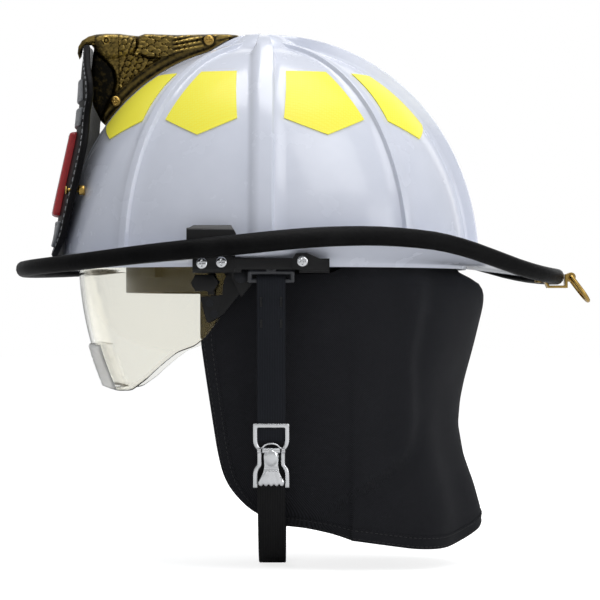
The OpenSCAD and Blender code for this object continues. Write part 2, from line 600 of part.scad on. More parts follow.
// Webbing folded round the lower bar of a ring, in the hanging frame.
module fold() translate([-webbing / 2, 0, 0]) rotate([0, 90, 0]) difference() {
    cylinder(h = webbing, r = 1.6 + webbing_t, $fn = 32);
    translate([0, 0, -1]) cylinder(h = webbing + 2, r = 1.6, $fn = 32);
}
buckle_d = 95.5;
module chin_strap_upper() color("#2b2f36") hang(LEFT) {
    fold();
    translate([-webbing / 2, -webbing_t / 2, -buckle_d - 12]) cube([webbing, webbing_t, buckle_d + 9.6]);
    // Stitched tail of the fold
    translate([-webbing / 2, webbing_t / 2 - 0.01, -34]) cube([webbing, webbing_t, 31]);
}
chin_steps = 40;
function chin_arc(r) = [for (i = [0:chin_steps])
    let (a = mix(180 + strap_lean, 360 - strap_lean, i / chin_steps)) [r * cos(a), chin_z + r * sin(a)]];
module chin_strap_lower() color("#1c1c1e") {
    half = webbing_t / 2;
    // The near end reaches up behind the buckle, the far end up to its ring
    up = [-sin(strap_lean), cos(strap_lean)];
    far = [sin(strap_lean), cos(strap_lean)];
    out = [cos(strap_lean), -sin(strap_lean)];
    outer = chin_arc(chin_r + half);
    inner = chin_arc(chin_r - half);
    top = [y1, z1] - far * 2.4;
    band = concat([outer[0] + up * 5], outer, [top + out * half, top - out * half],
        [for (i = [chin_steps:-1:0]) inner[i]], [inner[0] + up * 5]);
    translate([strap_x - webbing / 2 + 0.2, 0, 0]) rotate([90, 0, 90]) linear_extrude(webbing - 0.4)
        polygon(band);
    hang(RIGHT) {
        fold();
        translate([-webbing / 2 + 0.6, webbing_t / 2 - 0.1, -34]) cube([webbing - 1.2, webbing_t, 31]);
    }
}

// Buckle, in the hanging frame: Z falls from its top edge, -Y is outwards.
lever_z = -18.2;
lever_y = 3.4;
module buckle() hang(LEFT) translate([0, 0, -buckle_d]) children();
module plate(y, t, points) translate([0, -y, 0]) rotate([90, 0, 0]) linear_extrude(t) polygon(points);
module buckle_frame() color("#c8cbd0") buckle() {
    w = buckle_w / 2;
    bar_w = 3.1;
    y = webbing_t / 2 + gap;
    difference() {
        plate(y, buckle_t, [[-w, 0], [w, 0], [w, -14.5], [w - 2.9, -18.5], [w - 2.9, -28], [w, -32],
            [w, -44], [-w, -44], [-w, -32], [2.9 - w, -28], [2.9 - w, -18.5], [-w, -14.5]]);
        plate(y - 1, 5, [[bar_w - w, -3.3], [w - bar_w, -3.3], [w - bar_w, -14.2],
            [w - bar_w - 2.9, -18], [w - bar_w - 2.9, -28.5], [w - bar_w, -32.6],
            [w - bar_w, -45], [bar_w - w, -45], [bar_w - w, -32.6], [bar_w + 2.9 - w, -28.5],
            [bar_w + 2.9 - w, -18], [bar_w - w, -14.2]]);
        translate([0, -lever_y, lever_z]) bar(-w, w, 0, 1.05);
    }
    // Ears for the pin
    for (x = [2.9 - w, w - 2.9 - 2.4]) difference() {
        translate([x, -lever_y - 1.9, lever_z - 2]) cube([2.4, lever_y + 1.9 - y, 4]);
        translate([0, -lever_y, lever_z]) bar(-w, w, 0, 1.05);
    }
}
module buckle_pin() color("#b5b8bd") buckle() translate([0, -lever_y, lever_z])
    bar(2.6 - buckle_w / 2, buckle_w / 2 - 2.6, 0, 1);
module buckle_lever() color("#d2d5da") buckle() difference() {
    half = buckle_w / 2 - 6.3;
    union() {
        translate([0, -lever_y, lever_z]) bar(-half, half, 0, 1.9);
        plate(lever_y + 0.2, 1.6, concat([for (i = [0:12]) let (a = i * 15)
            [4.8 * cos(a), lever_z - 4 + 5.4 * sin(a)]], [[-4.8, -30], [-5.4, -34], [-8.5, -39.5]],
            [for (i = [0:10]) let (a = 180 + i * 18) [8.5 * cos(a), -40 + 2.8 * sin(a)]],
            [[8.5, -39.5], [5.4, -34], [4.8, -30]]));
        translate([0, -lever_y - 1.7, lever_z - 5]) scale(1) sphere(2.6, $fn = 24);
    }
    translate([0, -lever_y, lever_z]) bar(-20, 20, 0, 1.05);
}

// Neck cover: quilted cloth hung inside the rim, round the back and the sides.
REAR_X = [[-195, 146], [-191, 146], [-175, 150], [-145, 143], [-112, 136.5], [-90, 138], [-70, 142],
    [-45, 151.5], [-24, 160], [-15, 160.5], [-9, 154], [-5, 140], [0, 135], [7, 133]];
SIDE_Y = [[-195, 70], [-175, 74], [-145, 81], [-110, 88], [-70, 94], [-30, 97.5], [-6, 98], [0, 95],
    [7, 94]];
ROUND = [[-30, 0.95], [-6, 1.2]];
EDGE_X = [[-173, 17], [-160.4, -1.4], [-141.7, -23.4], [-110, -31], [-70, -37], [-48.5, -40], [7, -40]];
EDGE_Y = [[-173, 63], [-160, 67], [-142, 72], [-105, 79], [-50, 85], [-5, 87], [7, 87]];
side_x = 62;
function cover_z(s, v) = mix(mix(6, -4.5, smooth((s - 0.56) / 0.12)), mix(mix(-191, -175,
    smooth(s / 0.75)), -172.4, smooth((s - 0.75) / 0.25)), v);
function cover_mid(s, v) = let (z = cover_z(s, v), q = min(1, s / 0.6) * 90, m = max(0, s - 0.6) / 0.4,
    rx = lookup(z, REAR_X), sy = lookup(z, SIDE_Y), ex = lookup(z, EDGE_X), ey = lookup(z, EDGE_Y), e = lookup(z, ROUND),
    fold_d = 2.2 * v * sin(s * 1300) * (1 - smooth((s - 0.5) / 0.2)))
    s <= 0.6 ? [side_x + (rx - side_x + fold_d) * pow(cos(q), e), (sy + fold_d) * pow(sin(q), e), z]
        : [mix(side_x, ex, m), mix(sy, ey, smooth(m)), z];
function cover_point(s, v, off) = let (e = 0.012, w = abs(s), p = cover_mid(w, v),
    a = cover_mid(min(1, w + e), v) - cover_mid(max(0, w - e), v),
    b = cover_mid(w, min(1, v + e)) - cover_mid(w, max(0, v - e)), q = p + off * unit(cross(b, a)))
    [q.x, w == 0 ? 0 : q.y * sign(s), q.z];
module neck_cover() color("#1d1d1f") {
    cols = [for (i = [-17:17]) i / 17];
    rows = [0, 0.03, 0.055, 0.08, 0.11, 0.16, 0.25, 0.36, 0.48, 0.6, 0.72, 0.84, 0.93, 1];
    sheet([for (v = rows) [for (s = cols) cover_point(s, v, 0)]],
        [for (v = rows) [for (s = cols) cover_point(s, v, -cloth_t)]]);
}
// Tabs between the cloth's top edge and the inside of the rim
module cover_tab(s) {
    p = cover_mid(abs(s), 0.03);
    a = atan2(p.y * sign(s), p.x);
    q = dome(a, 1.2, -wall);
    d = (norm([q.x, q.y]) - norm([p.x, p.y])) * cos(normal_turn(q) - a);
    translate([q.x, q.y, 1]) rotate([0, 0, normal_turn(q)])
        translate([0.7 - d, -5, 0]) cube([d - (abs(s) < 0.1 ? 1.4 : 2.15), 10, 4.6]);
}
module cover_tabs() color("#151517") for (s = [-0.48, -0.24, 0.0001, 0.24, 0.48]) cover_tab(s);

// Clip under the rear brim that carries the hanging ring.
eye_x = brim_rear + 7.8;
eye_z = -5;
module ring_clip() color("#8f7433") difference() {
    union() {
        across(-7, 7, [[189, -4.3], [198, -5.6], [200.6, -10.9], [211.7, -10.9], [211.7, -3],
            [213.4, -3], [213.4, -12.6], [199.6, -12.6], [197, -7.2], [189, -5.9]]);
        for (y = [-7, 3]) rod(eye_x, eye_z, y, y + 4, 3.2, 24);
    }
    rod(eye_x, eye_z, -20, 20, ring_wire + 0.05, 24);
    for (y = [-3.5, 3.5]) translate([193.5, y, -20]) cylinder(h = 30, r = 1.3, $fn = 16);
}
module ring_clip_rivets() color("#b08f45") for (y = [-3.5, 3.5]) translate([193.5, y, 0]) {
    translate([0, 0, -8.8]) cylinder(h = 1.8, r = 2.4, $fn = 24);
    translate([0, 0, -8.8]) cylinder(h = 3.6, r = 1.25, $fn = 16);
}
// Hanging ring: a straight bar in the clip's eyes and a round loop that leans out behind.
ring_lean = 53;
module hanging_ring() color("#b08f45") translate([eye_x, 0, eye_z]) rotate([0, ring_lean, 0]) {
    leg = 10;
    rod(0, 0, -ring_w, ring_w, ring_wire, 24);
    for (s = [-1, 1]) translate([0, s * ring_w, 0]) {
        sphere(ring_wire, $fn = 24);
        rotate([0, 90, 0]) cylinder(h = leg, r = ring_wire, $fn = 24);
    }
    translate([leg, 0, 0]) rotate([0, 0, -90]) rotate_extrude(angle = 180, $fn = 48)
        translate([ring_w, 0]) circle(ring_wire, $fn = 24);
}

shell();
brim_roll();
reflective_panels();
front_holder();
holder_screws();
front_piece();
front_banners();
number_panel();
front_piece_screws();
impact_liner();
liner_spacers();
crown_straps();
headband();
brow_pad();
suspension_clips();
band_tail_left();
band_tail_right();
ratchet_housing();
ratchet_cover();
ratchet_knob();
ratchet_pinion();
strap_bracket_left();
strap_bracket_right();
bracket_cap_left();
bracket_cap_right();
bracket_screws();
visor_pivot_pins();
visor_lens();
visor_arm_left();
visor_arm_right();
visor_latch_left();
visor_latch_right();
lens_rivets();
strap_ring_left();
strap_ring_right();
chin_strap_upper();
buckle_frame();
buckle_pin();
buckle_lever();
chin_strap_lower();
neck_cover();
cover_tabs();
ring_clip();
ring_clip_rivets();
hanging_ring();
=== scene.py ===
"""Looks of the traditional fire helmet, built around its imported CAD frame.

The shared frame has +Z up, -X to the front and -Y to the wearer's left, in metres. Sizes that
repeat the CAD's are written in millimetres and scaled by MM.
"""

import json
import logging
import math
from collections.abc import Callable, Sequence
from dataclasses import dataclass, field
from enum import Enum

import bmesh
import bpy
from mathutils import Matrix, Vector, geometry


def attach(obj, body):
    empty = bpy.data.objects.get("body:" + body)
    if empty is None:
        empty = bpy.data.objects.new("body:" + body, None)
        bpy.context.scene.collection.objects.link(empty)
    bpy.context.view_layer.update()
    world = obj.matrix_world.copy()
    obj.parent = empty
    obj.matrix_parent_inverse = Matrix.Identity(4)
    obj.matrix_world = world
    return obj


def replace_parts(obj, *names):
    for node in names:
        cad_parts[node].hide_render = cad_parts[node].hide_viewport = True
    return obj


LOG = logging.getLogger("fire_helmet")
MM = 0.001
MIX_A, MIX_B, MIX_OUT = 6, 7, 2  # colour sockets of a Mix node
Point = tuple[float, float, float]
Colour = tuple[float, float, float]
Pair = tuple[float, float]
Table = tuple[Pair, ...]
Faces = list[tuple[int, ...]]
Form = tuple[list[Point], Faces]  # the points and faces of a mesh
Value = float | Sequence[float] | bpy.types.NodeSocket
SMOOTH_TURN, SHARP_TURN, FLAT_TURN = 46, 34, 2  # degrees between two faces
WELD = 0.005  # millimetres
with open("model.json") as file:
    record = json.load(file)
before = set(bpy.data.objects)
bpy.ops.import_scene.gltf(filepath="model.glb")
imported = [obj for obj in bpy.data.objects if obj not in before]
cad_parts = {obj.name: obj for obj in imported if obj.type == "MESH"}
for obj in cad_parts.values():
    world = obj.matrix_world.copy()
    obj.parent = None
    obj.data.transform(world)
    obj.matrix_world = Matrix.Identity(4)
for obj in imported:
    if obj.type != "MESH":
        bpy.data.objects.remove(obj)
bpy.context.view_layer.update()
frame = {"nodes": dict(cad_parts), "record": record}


class Side(Enum):
    """The wearer's two sides, as the sign of Y."""

    LEFT = -1
    RIGHT = 1


class Pattern(Enum):
    """Surface patterns a finish can have."""

    MOTTLE = "mottle"
    GRAIN = "grain"
    RIBS = "ribs"
    TWILL = "twill"
    CELLS = "cells"
    BRUSH = "brush"


def mix(a: float, b: float, t: float) -> float:
    """Returns the value a fraction t of the way from a to b."""
    return a + (b - a) * t


def smooth(t: float) -> float:
    """Returns an eased 0 to 1 step of t."""
    c = min(1.0, max(0.0, t))
    return c * c * (3 - 2 * c)


def look(x: float, table: Sequence[Pair]) -> float:
    """Reads a value from a table of points.

    Args:
        x: Where to read.
        table: Pairs of place and value, in rising order.

    Returns:
        The value, straight between the two nearest points.
    """
    if x <= table[0][0]:
        return table[0][1]
    for (x0, v0), (x1, v1) in zip(table, table[1:]):
        if x <= x1:
            return mix(v0, v1, (x - x0) / (x1 - x0))
    return table[-1][1]


def flow(x: float, table: Sequence[Pair], reach: float) -> float:
    """Reads a table with its corners eased over a reach to each side.

    Args:
        x: Where to read.
        table: Pairs of place and value, in rising order.
        reach: How far to each side the values are averaged.

    Returns:
        The eased value.
    """
    return sum(look(x + reach * k / 3, table) for k in range(-3, 4)) / 7


def domed(share: float) -> float:
    """Returns the height of a quarter-round edge, from 0 at its foot to 1 where share is 1."""
    return math.sqrt(max(0.0, 1 - (1 - min(1.0, share)) ** 2))


def polar(radius: float, turn: float) -> Pair:
    """Returns the point of a circle at an angle in degrees."""
    return radius * math.cos(math.radians(turn)), radius * math.sin(math.radians(turn))


def linear(r: int, g: int, b: int) -> Colour:
    """Returns an 8-bit display colour as the linear colour a shader takes."""
    return tuple(((c / 255 + 0.055) / 1.055) ** 2.4 if c > 10 else c / 255 / 12.92
                 for c in (r, g, b))


# ---- Shader groups and finishes ----

WEAR_SCALE, WEAR_CONTRAST = 38.0, 2.2
WORN_TONE = (0.5, 0.5, 0.5, 1)
FUZZ_SCALE, FUZZ_SHARE = 900.0, 0.5  # loose fibres over woven bands
RELIEF_SHARE, RELIEF_GRAIN = 0.85, 0.5
COAT_ROUGH = 0.12


def feed(tree: bpy.types.NodeTree, socket: bpy.types.NodeSocket, value: Value) -> None:
    """Sets a socket to a value, or links it to the socket that the value comes from."""
    if isinstance(value, bpy.types.NodeSocket):
        tree.links.new(value, socket)
    else:
        socket.default_value = value


def maths(tree: bpy.types.NodeTree, operation: str, *values: Value, clamp: bool = False
          ) -> bpy.types.NodeSocket:
    """Adds a Math node.

    Args:
        tree: The tree that it goes in.
        operation: What it does.
        values: What each of its inputs takes.
        clamp: Whether its result is held from 0 to 1.

    Returns:
        The socket of its result.
    """
    node = tree.nodes.new("ShaderNodeMath")
    node.operation = operation
    node.use_clamp = clamp
    for socket, value in zip(node.inputs, values):
        feed(tree, socket, value)
    return node.outputs[0]


def mixed(tree: bpy.types.NodeTree, share: Value, first: Value, second: Value, kind: str = "MIX"
          ) -> bpy.types.NodeSocket:
    """Adds a Mix node for colours.

    Args:
        tree: The tree that it goes in.
        share: The share of the second colour.
        first: The first colour.
        second: The second colour.
        kind: How the second goes over the first.

    Returns:
        The socket of the mixed colour.
    """
    node = tree.nodes.new("ShaderNodeMix")
    node.data_type = "RGBA"
    node.blend_type = kind
    for place, value in ((0, share), (MIX_A, first), (MIX_B, second)):
        feed(tree, node.inputs[place], value)
    return node.outputs[MIX_OUT]


@dataclass(frozen=True)
class EffectGroup:
    """A node group with its inputs and outputs, which materials share.

    Attributes:
        name: The group's name.
        inputs: Names and starting values of its number inputs.
        outputs: Names of its number outputs.
    """

    name: str
    inputs: tuple[tuple[str, float], ...] = (("Scale", 100.0), ("Contrast", 1.0))
    outputs: tuple[str, ...] = ("Mask", "Height")

    def make(self) -> tuple[bpy.types.NodeTree, bpy.types.Node, bpy.types.Node]:
        """Returns the empty group with its sockets, and its input and output nodes."""
        tree = bpy.data.node_groups.new(self.name, "ShaderNodeTree")
        tree.interface.new_socket("Vector", in_out="INPUT", socket_type="NodeSocketVector")
        for name, value in self.inputs:
            socket = tree.interface.new_socket(name, in_out="INPUT", socket_type="NodeSocketFloat")
            socket.default_value = value
        for name in self.outputs:
            tree.interface.new_socket(name, in_out="OUTPUT", socket_type="NodeSocketFloat")
        return tree, tree.nodes.new("NodeGroupInput"), tree.nodes.new("NodeGroupOutput")


class Effects:
    """The shared shader effects: surface grain, woven ribs, cells and handling wear."""

    def __init__(self) -> None:
        """Builds every group once."""
        self.groups: dict[Pattern, bpy.types.NodeTree] = {
            Pattern.MOTTLE: self.noise_group("clouded_mottle", 2.0, 0.62),
            Pattern.GRAIN: self.noise_group("moulded_grain", 6.0, 0.7),
            Pattern.RIBS: self.wave_group("webbing_ribs", "X", 0.35),
            Pattern.TWILL: self.wave_group("cloth_twill", "DIAGONAL", 0.8),
            Pattern.CELLS: self.cell_group("film_cells"),
            Pattern.BRUSH: self.wave_group("brushed_lines", "Z", 2.5),
        }
        self.wear = self.noise_group("handling_wear", 4.0, 0.55)

    @staticmethod
    def noise_group(name: str, detail: float, rough: float) -> bpy.types.NodeTree:
        """Builds a noise effect.

        Args:
            name: The group's name.
            detail: Octaves of the noise.
            rough: Roughness of the noise.

        Returns:
            A group that puts out a mask and a height.
        """
        tree, given, out = EffectGroup(name).make()
        noise = tree.nodes.new("ShaderNodeTexNoise")
        noise.inputs["Detail"].default_value = detail
        noise.inputs["Roughness"].default_value = rough
        for socket in ("Vector", "Scale"):
            tree.links.new(given.outputs[socket], noise.inputs[socket])
        middle = 0.5
        lift = maths(tree, "SUBTRACT", noise.outputs["Fac"], middle)
        mask = maths(tree, "MULTIPLY_ADD", lift, given.outputs["Contrast"], middle, clamp=True)
        tree.links.new(mask, out.inputs["Mask"])
        tree.links.new(noise.outputs["Fac"], out.inputs["Height"])
        return tree

    @staticmethod
    def wave_group(name: str, direction: str, distortion: float) -> bpy.types.NodeTree:
        """Builds an effect of fine parallel bands.

        Args:
            name: The group's name.
            direction: The bands' direction.
            distortion: How uneven the bands are.

        Returns:
            A group that puts out a mask and a height.
        """
        tree, given, out = EffectGroup(name).make()
        wave = tree.nodes.new("ShaderNodeTexWave")
        wave.bands_direction = direction
        wave.inputs["Distortion"].default_value = distortion
        wave.inputs["Detail"].default_value = 1.0
        fuzz = tree.nodes.new("ShaderNodeTexNoise")
        fuzz.inputs["Scale"].default_value = FUZZ_SCALE
        tree.links.new(given.outputs["Vector"], wave.inputs["Vector"])
        tree.links.new(given.outputs["Vector"], fuzz.inputs["Vector"])
        tree.links.new(given.outputs["Scale"], wave.inputs["Scale"])
        height = maths(tree, "MULTIPLY_ADD", fuzz.outputs["Fac"], FUZZ_SHARE, wave.outputs["Fac"])
        tree.links.new(height, out.inputs["Height"])
        mask = maths(tree, "MULTIPLY", height, given.outputs["Contrast"])
        tree.links.new(mask, out.inputs["Mask"])
        return tree

    @staticmethod
    def cell_group(name: str) -> bpy.types.NodeTree:
        """Builds the small bonded cells of retroreflective film.

        Args:
            name: The group's name.

        Returns:
            A group that puts out a mask and a height.
        """
        tree, given, out = EffectGroup(name).make()
        cells = tree.nodes.new("ShaderNodeTexVoronoi")
        cells.feature = "DISTANCE_TO_EDGE"
        cells.inputs["Randomness"].default_value = 0.15
        for socket in ("Vector", "Scale"):
            tree.links.new(given.outputs[socket], cells.inputs[socket])
        away = cells.outputs["Distance"]
        mask = maths(tree, "MULTIPLY", away, given.outputs["Contrast"], clamp=True)
        tree.links.new(mask, out.inputs["Mask"])
        tree.links.new(away, out.inputs["Height"])
        return tree


EFFECTS = Effects()
BUILT: dict[str, bpy.types.Material] = {}


def blank(name: str) -> tuple[bpy.types.Material, bpy.types.Node, bpy.types.NodeSocket]:
    """Returns a new material, its shader and the socket of the object's own coordinates."""
    material = BUILT[name] = bpy.data.materials.new(f"{name}_finish")
    material.use_nodes = True
    place = material.node_tree.nodes.new("ShaderNodeTexCoord")
    return material, material.node_tree.nodes["Principled BSDF"], place.outputs["Object"]


def effect_at(tree: bpy.types.NodeTree, group: bpy.types.NodeTree, place: bpy.types.NodeSocket,
              scale: float, contrast: float = 1.0) -> bpy.types.Node:
    """Places a shared effect in a material.

    Args:
        tree: The material's tree.
        group: The effect.
        place: The socket of its coordinates.
        scale: Its scale per metre.
        contrast: Its contrast.

    Returns:
        The effect's node.
    """
    node = tree.nodes.new("ShaderNodeGroup")
    node.node_tree = group
    node.inputs["Scale"].default_value = scale
    node.inputs["Contrast"].default_value = contrast
    tree.links.new(place, node.inputs["Vector"])
    return node


def vary_roughness(tree: bpy.types.NodeTree, shader: bpy.types.Node, mask: bpy.types.NodeSocket,
                   least: float, most: float) -> None:
    """Lets a mask vary the shader's roughness.

    Args:
        tree: The material's tree.
        shader: Its shader.
        mask: The mask's socket.
        least: Roughness where the mask is 0.
        most: Roughness where the mask is 1.
    """
    dull = tree.nodes.new("ShaderNodeMapRange")
    dull.inputs["To Min"].default_value = least
    dull.inputs["To Max"].default_value = most
    tree.links.new(mask, dull.inputs["Value"])
    tree.links.new(dull.outputs["Result"], shader.inputs["Roughness"])


@dataclass(frozen=True)
class Finish:
    """A material of the helmet.

    Attributes:
        name: The material's name.
        low: Colour in the pattern's hollows.
        high: Colour on the pattern's tops.
        rough: Least and greatest roughness.
        pattern: The surface pattern.
        scale: The pattern's scale per metre.
        contrast: Strength of the pattern in the colour.
        bump: Depth of the pattern in metres.
        metal: Metallic value.
        coat: Clear coat weight.
        wear: How much the handling wear lightens the surface.
        sheen: Cloth sheen weight.
        glow: Share of the colour given off as painted light, which stands for the light that film
            lit from the camera sends back.
        gloss: Specular level, 0.5 for plastics.
        relief: Whether a casting's own tone chooses the colour.
    """

    name: str
    low: Colour
    high: Colour
    rough: Pair
    pattern: Pattern
    scale: float
    contrast: float = 1.0
    bump: float = 0.0
    metal: float = 0.0
    coat: float = 0.0
    wear: float = 0.0
    sheen: float = 0.0
    glow: float = 0.0
    gloss: float = 0.5
    relief: bool = False

    def share(self, tree: bpy.types.NodeTree, mask: bpy.types.NodeSocket) -> bpy.types.NodeSocket:
        """Returns the socket that chooses between the low and the high colour."""
        if not self.relief:
            return mask
        raised = tree.nodes.new("ShaderNodeAttribute")
        raised.attribute_name = "relief"
        grain = maths(tree, "MULTIPLY_ADD", mask, RELIEF_GRAIN, -RELIEF_GRAIN / 2)
        return maths(tree, "MULTIPLY_ADD", raised.outputs["Fac"], RELIEF_SHARE, grain, clamp=True)

    def build(self) -> bpy.types.Material:
        """Returns the Blender material, made on the first call."""
        if self.name in BUILT:
            return BUILT[self.name]
        material, shader, place = blank(self.name)
        tree = material.node_tree
        effect = effect_at(tree, EFFECTS.groups[self.pattern], place, self.scale, self.contrast)
        worn = effect_at(tree, EFFECTS.wear, place, WEAR_SCALE, WEAR_CONTRAST).outputs["Mask"]
        share = self.share(tree, effect.outputs["Mask"])
        tone = mixed(tree, share, (*self.low, 1), (*self.high, 1))
        lighter = mixed(tree, maths(tree, "MULTIPLY", worn, self.wear), tone, WORN_TONE, "SCREEN")
        tree.links.new(lighter, shader.inputs["Base Color"])
        vary_roughness(tree, shader, worn, *self.rough)
        if self.bump > 0:
            bump = tree.nodes.new("ShaderNodeBump")
            bump.inputs["Distance"].default_value = self.bump
            bump.inputs["Strength"].default_value = 1.0
            tree.links.new(effect.outputs["Height"], bump.inputs["Height"])
            tree.links.new(bump.outputs["Normal"], shader.inputs["Normal"])
        # Painted light: the emission makes the surface glow though it is no lamp.
        if self.glow > 0:
            tree.links.new(tone, shader.inputs["Emission Color"])
            shader.inputs["Emission Strength"].default_value = self.glow
        shader.inputs["Metallic"].default_value = self.metal
        shader.inputs["Coat Weight"].default_value = self.coat
        shader.inputs["Coat Roughness"].default_value = COAT_ROUGH
        shader.inputs["Sheen Weight"].default_value = self.sheen
        shader.inputs["Specular IOR Level"].default_value = self.gloss
        return material


@dataclass(frozen=True)
class LensFinish:
    """The clear lens with a faint straw tint.

    Attributes:
        name: The material's name.
        tint: Colour of the light that passes.
        rough: Surface roughness where the lens is cleanest.
        dulled: How many times rougher it is where it is most handled.
        wear_scale: Scale of the handling wear per metre.
        bend: Index of refraction.
        gleam: Tint of the reflections.
    """

    name: str = "lens_clear"
    tint: Colour = (0.9, 0.888, 0.83)
    rough: float = 0.015
    dulled: float = 2.4
    wear_scale: float = 60.0
    bend: float = 1.45
    gleam: Colour = (1, 0.78, 0.32)

    def build(self) -> bpy.types.Material:
        """Returns the Blender material, made on the first call."""
        if self.name in BUILT:
            return BUILT[self.name]
        material, shader, place = blank(self.name)
        tree = material.node_tree
        worn = effect_at(tree, EFFECTS.wear, place, self.wear_scale).outputs["Mask"]
        vary_roughness(tree, shader, worn, self.rough, self.rough * self.dulled)
        shader.inputs["Base Color"].default_value = (*self.tint, 1)
        shader.inputs["Transmission Weight"].default_value = 1.0
        shader.inputs["IOR"].default_value = self.bend
        shader.inputs["Specular Tint"].default_value = (*self.gleam, 1)
        return material


SHELL_WHITE = Finish("shell_white", linear(218, 223, 237), linear(229, 233, 246), (0.2, 0.3),
                     Pattern.MOTTLE, 46, 0.9, 0.00001, coat=0.5)
TRIM_BLACK = Finish("trim_black", linear(5, 5, 6), linear(16, 16, 17), (0.36, 0.5),
                    Pattern.GRAIN, 420, 1.3, 0.0004, wear=0.01, gloss=0.05)
# Its glow of 0.1 is painted light: an emission standing for the light the film sends back to the
# camera.
LIME_FILM = Finish("lime_film", linear(250, 239, 62), linear(253, 246, 92), (0.4, 0.5),
                   Pattern.CELLS, 620, 5.0, 0.00003, coat=0.1, glow=0.1, gloss=0.3)
ANTIQUE_BRASS = Finish("antique_brass", linear(17, 15, 9), linear(186, 158, 84), (0.24, 0.4),
                       Pattern.GRAIN, 300, 1.4, 0.0002, metal=0.85, relief=True)
LEATHER_BLACK = Finish("leather_black", linear(7, 7, 8), linear(24, 23, 25), (0.36, 0.5),
                       Pattern.GRAIN, 520, 1.2, 0.0002, wear=0.01, gloss=0.05)
PANEL_RED = Finish("panel_red", linear(168, 22, 30), linear(206, 44, 50), (0.3, 0.42),
                   Pattern.GRAIN, 480, 1.1, 0.00012, coat=0.3)
BANNER_GREY = Finish("banner_grey", linear(112, 114, 118), linear(158, 160, 164), (0.4, 0.55),
                     Pattern.GRAIN, 480, 1.2, 0.00015)
SILVER_THREAD = Finish("silver_thread", linear(112, 114, 118), linear(176, 178, 182), (0.4, 0.5),
                       Pattern.TWILL, 2400, 0.8, 0.0001, sheen=0.1)
FOAM_DARK = Finish("foam_dark", linear(30, 30, 32), linear(54, 54, 57), (0.75, 0.9),
                   Pattern.GRAIN, 700, 1.6, 0.0004, gloss=0.1)
WEBBING_DARK = Finish("webbing_dark", linear(22, 24, 29), linear(36, 39, 46), (0.6, 0.75),
                      Pattern.RIBS, 190, 0.4, 0.00008, sheen=0.02, gloss=0.15)
PLASTIC_BLACK = Finish("plastic_black", linear(6, 6, 7), linear(18, 18, 20), (0.3, 0.42),
                       Pattern.GRAIN, 640, 1.2, 0.00012, coat=0.08, wear=0.01, gloss=0.28)
LEATHER_BROWN = Finish("leather_brown", linear(66, 50, 38), linear(96, 74, 56), (0.5, 0.65),
                       Pattern.GRAIN, 560, 1.2, 0.0002)
STEEL = Finish("steel", linear(34, 35, 37), linear(62, 63, 66), (0.3, 0.42),
               Pattern.BRUSH, 500, 0.7, 0.00002, metal=1.0)
CHROME = Finish("chrome", linear(214, 216, 219), linear(240, 241, 243), (0.16, 0.24),
                Pattern.MOTTLE, 90, 1.2, 0.000008, metal=1.0)
RING_GREY = Finish("ring_grey", linear(36, 38, 42), linear(60, 62, 68), (0.3, 0.42),
                   Pattern.GRAIN, 520, 1.2, 0.00008, coat=0.2)
CLOTH_BLACK = Finish("cloth_black", linear(15, 15, 17), linear(43, 44, 49), (0.72, 0.85),
                     Pattern.TWILL, 520, 0.7, 0.0002, sheen=0.03, gloss=0.14)
BRASS = Finish("brass", linear(150, 118, 56), linear(206, 172, 96), (0.2, 0.32),
               Pattern.BRUSH, 420, 0.8, 0.00002, metal=1.0)
WEBBING_BLACK = Finish("webbing_black", linear(22, 22, 23), linear(36, 36, 37), (0.6, 0.75),
                       Pattern.RIBS, 190, 0.5, 0.00012, sheen=0.01, gloss=0.12)
THREAD_BLACK = Finish("thread_black", linear(14, 14, 16), linear(34, 35, 38), (0.5, 0.65),
                      Pattern.TWILL, 1800, 0.8, 0.0001, sheen=0.05)
LENS_GRIP = LensFinish("lens_grip", (0.9, 0.9, 0.89), 0.24)
LENS_CLEAR = LensFinish()
FINISHES = {f.name: f for f in (
    SHELL_WHITE, TRIM_BLACK, LIME_FILM, ANTIQUE_BRASS, LEATHER_BLACK, PANEL_RED, BANNER_GREY,
    FOAM_DARK, WEBBING_DARK, PLASTIC_BLACK, LEATHER_BROWN, STEEL, CHROME, RING_GREY, CLOTH_BLACK,
    BRASS, LENS_CLEAR)}


# ---- Mesh making ----


def piece(name: str, points: Sequence[Point], faces: Sequence[Sequence[int]],
          finish: Finish | LensFinish, body: str, relief: Sequence[float] = ()) -> bpy.types.Object:
    """Makes a smooth-shaded piece from points in millimetres.

    Args:
        name: The piece's name.
        points: Its points.
        faces: Its faces, as point numbers.
        finish: The material.
        body: The CAD body that it rides on.
        relief: Height of each point over its neighbours, for the colour of a casting.

    Returns:
        The new object.
    """
    mesh = bpy.data.meshes.new(name)
    mesh.from_pydata([(x * MM, y * MM, z * MM) for x, y, z in points], [], faces)
    mesh.validate()
    work = bmesh.new()
    work.from_mesh(mesh)
    bmesh.ops.recalc_face_normals(work, faces=work.faces)
    work.to_mesh(mesh)
    work.free()
    if len(relief):
        layer = mesh.attributes.new("relief", "FLOAT", "POINT")
        layer.data.foreach_set("value", list(relief))
    return placed(name, mesh, finish, body)


def placed(name: str, mesh: bpy.types.Mesh, finish: Finish | LensFinish, body: str
           ) -> bpy.types.Object:
    """Puts a finished mesh in the scene.

    Args:
        name: The piece's name.
        mesh: Its mesh, in metres in the shared frame.
        finish: The material.
        body: The CAD body that it rides on.

    Returns:
        The new object.
    """
    mesh.shade_smooth()
    mesh.set_sharp_from_angle(angle=math.radians(SMOOTH_TURN))
    obj = bpy.data.objects.new(name, mesh)
    bpy.context.collection.objects.link(obj)
    mesh.materials.append(finish.build())
    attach(obj, body)
    LOG.info("%s: %d faces", name, len(mesh.polygons))
    return obj


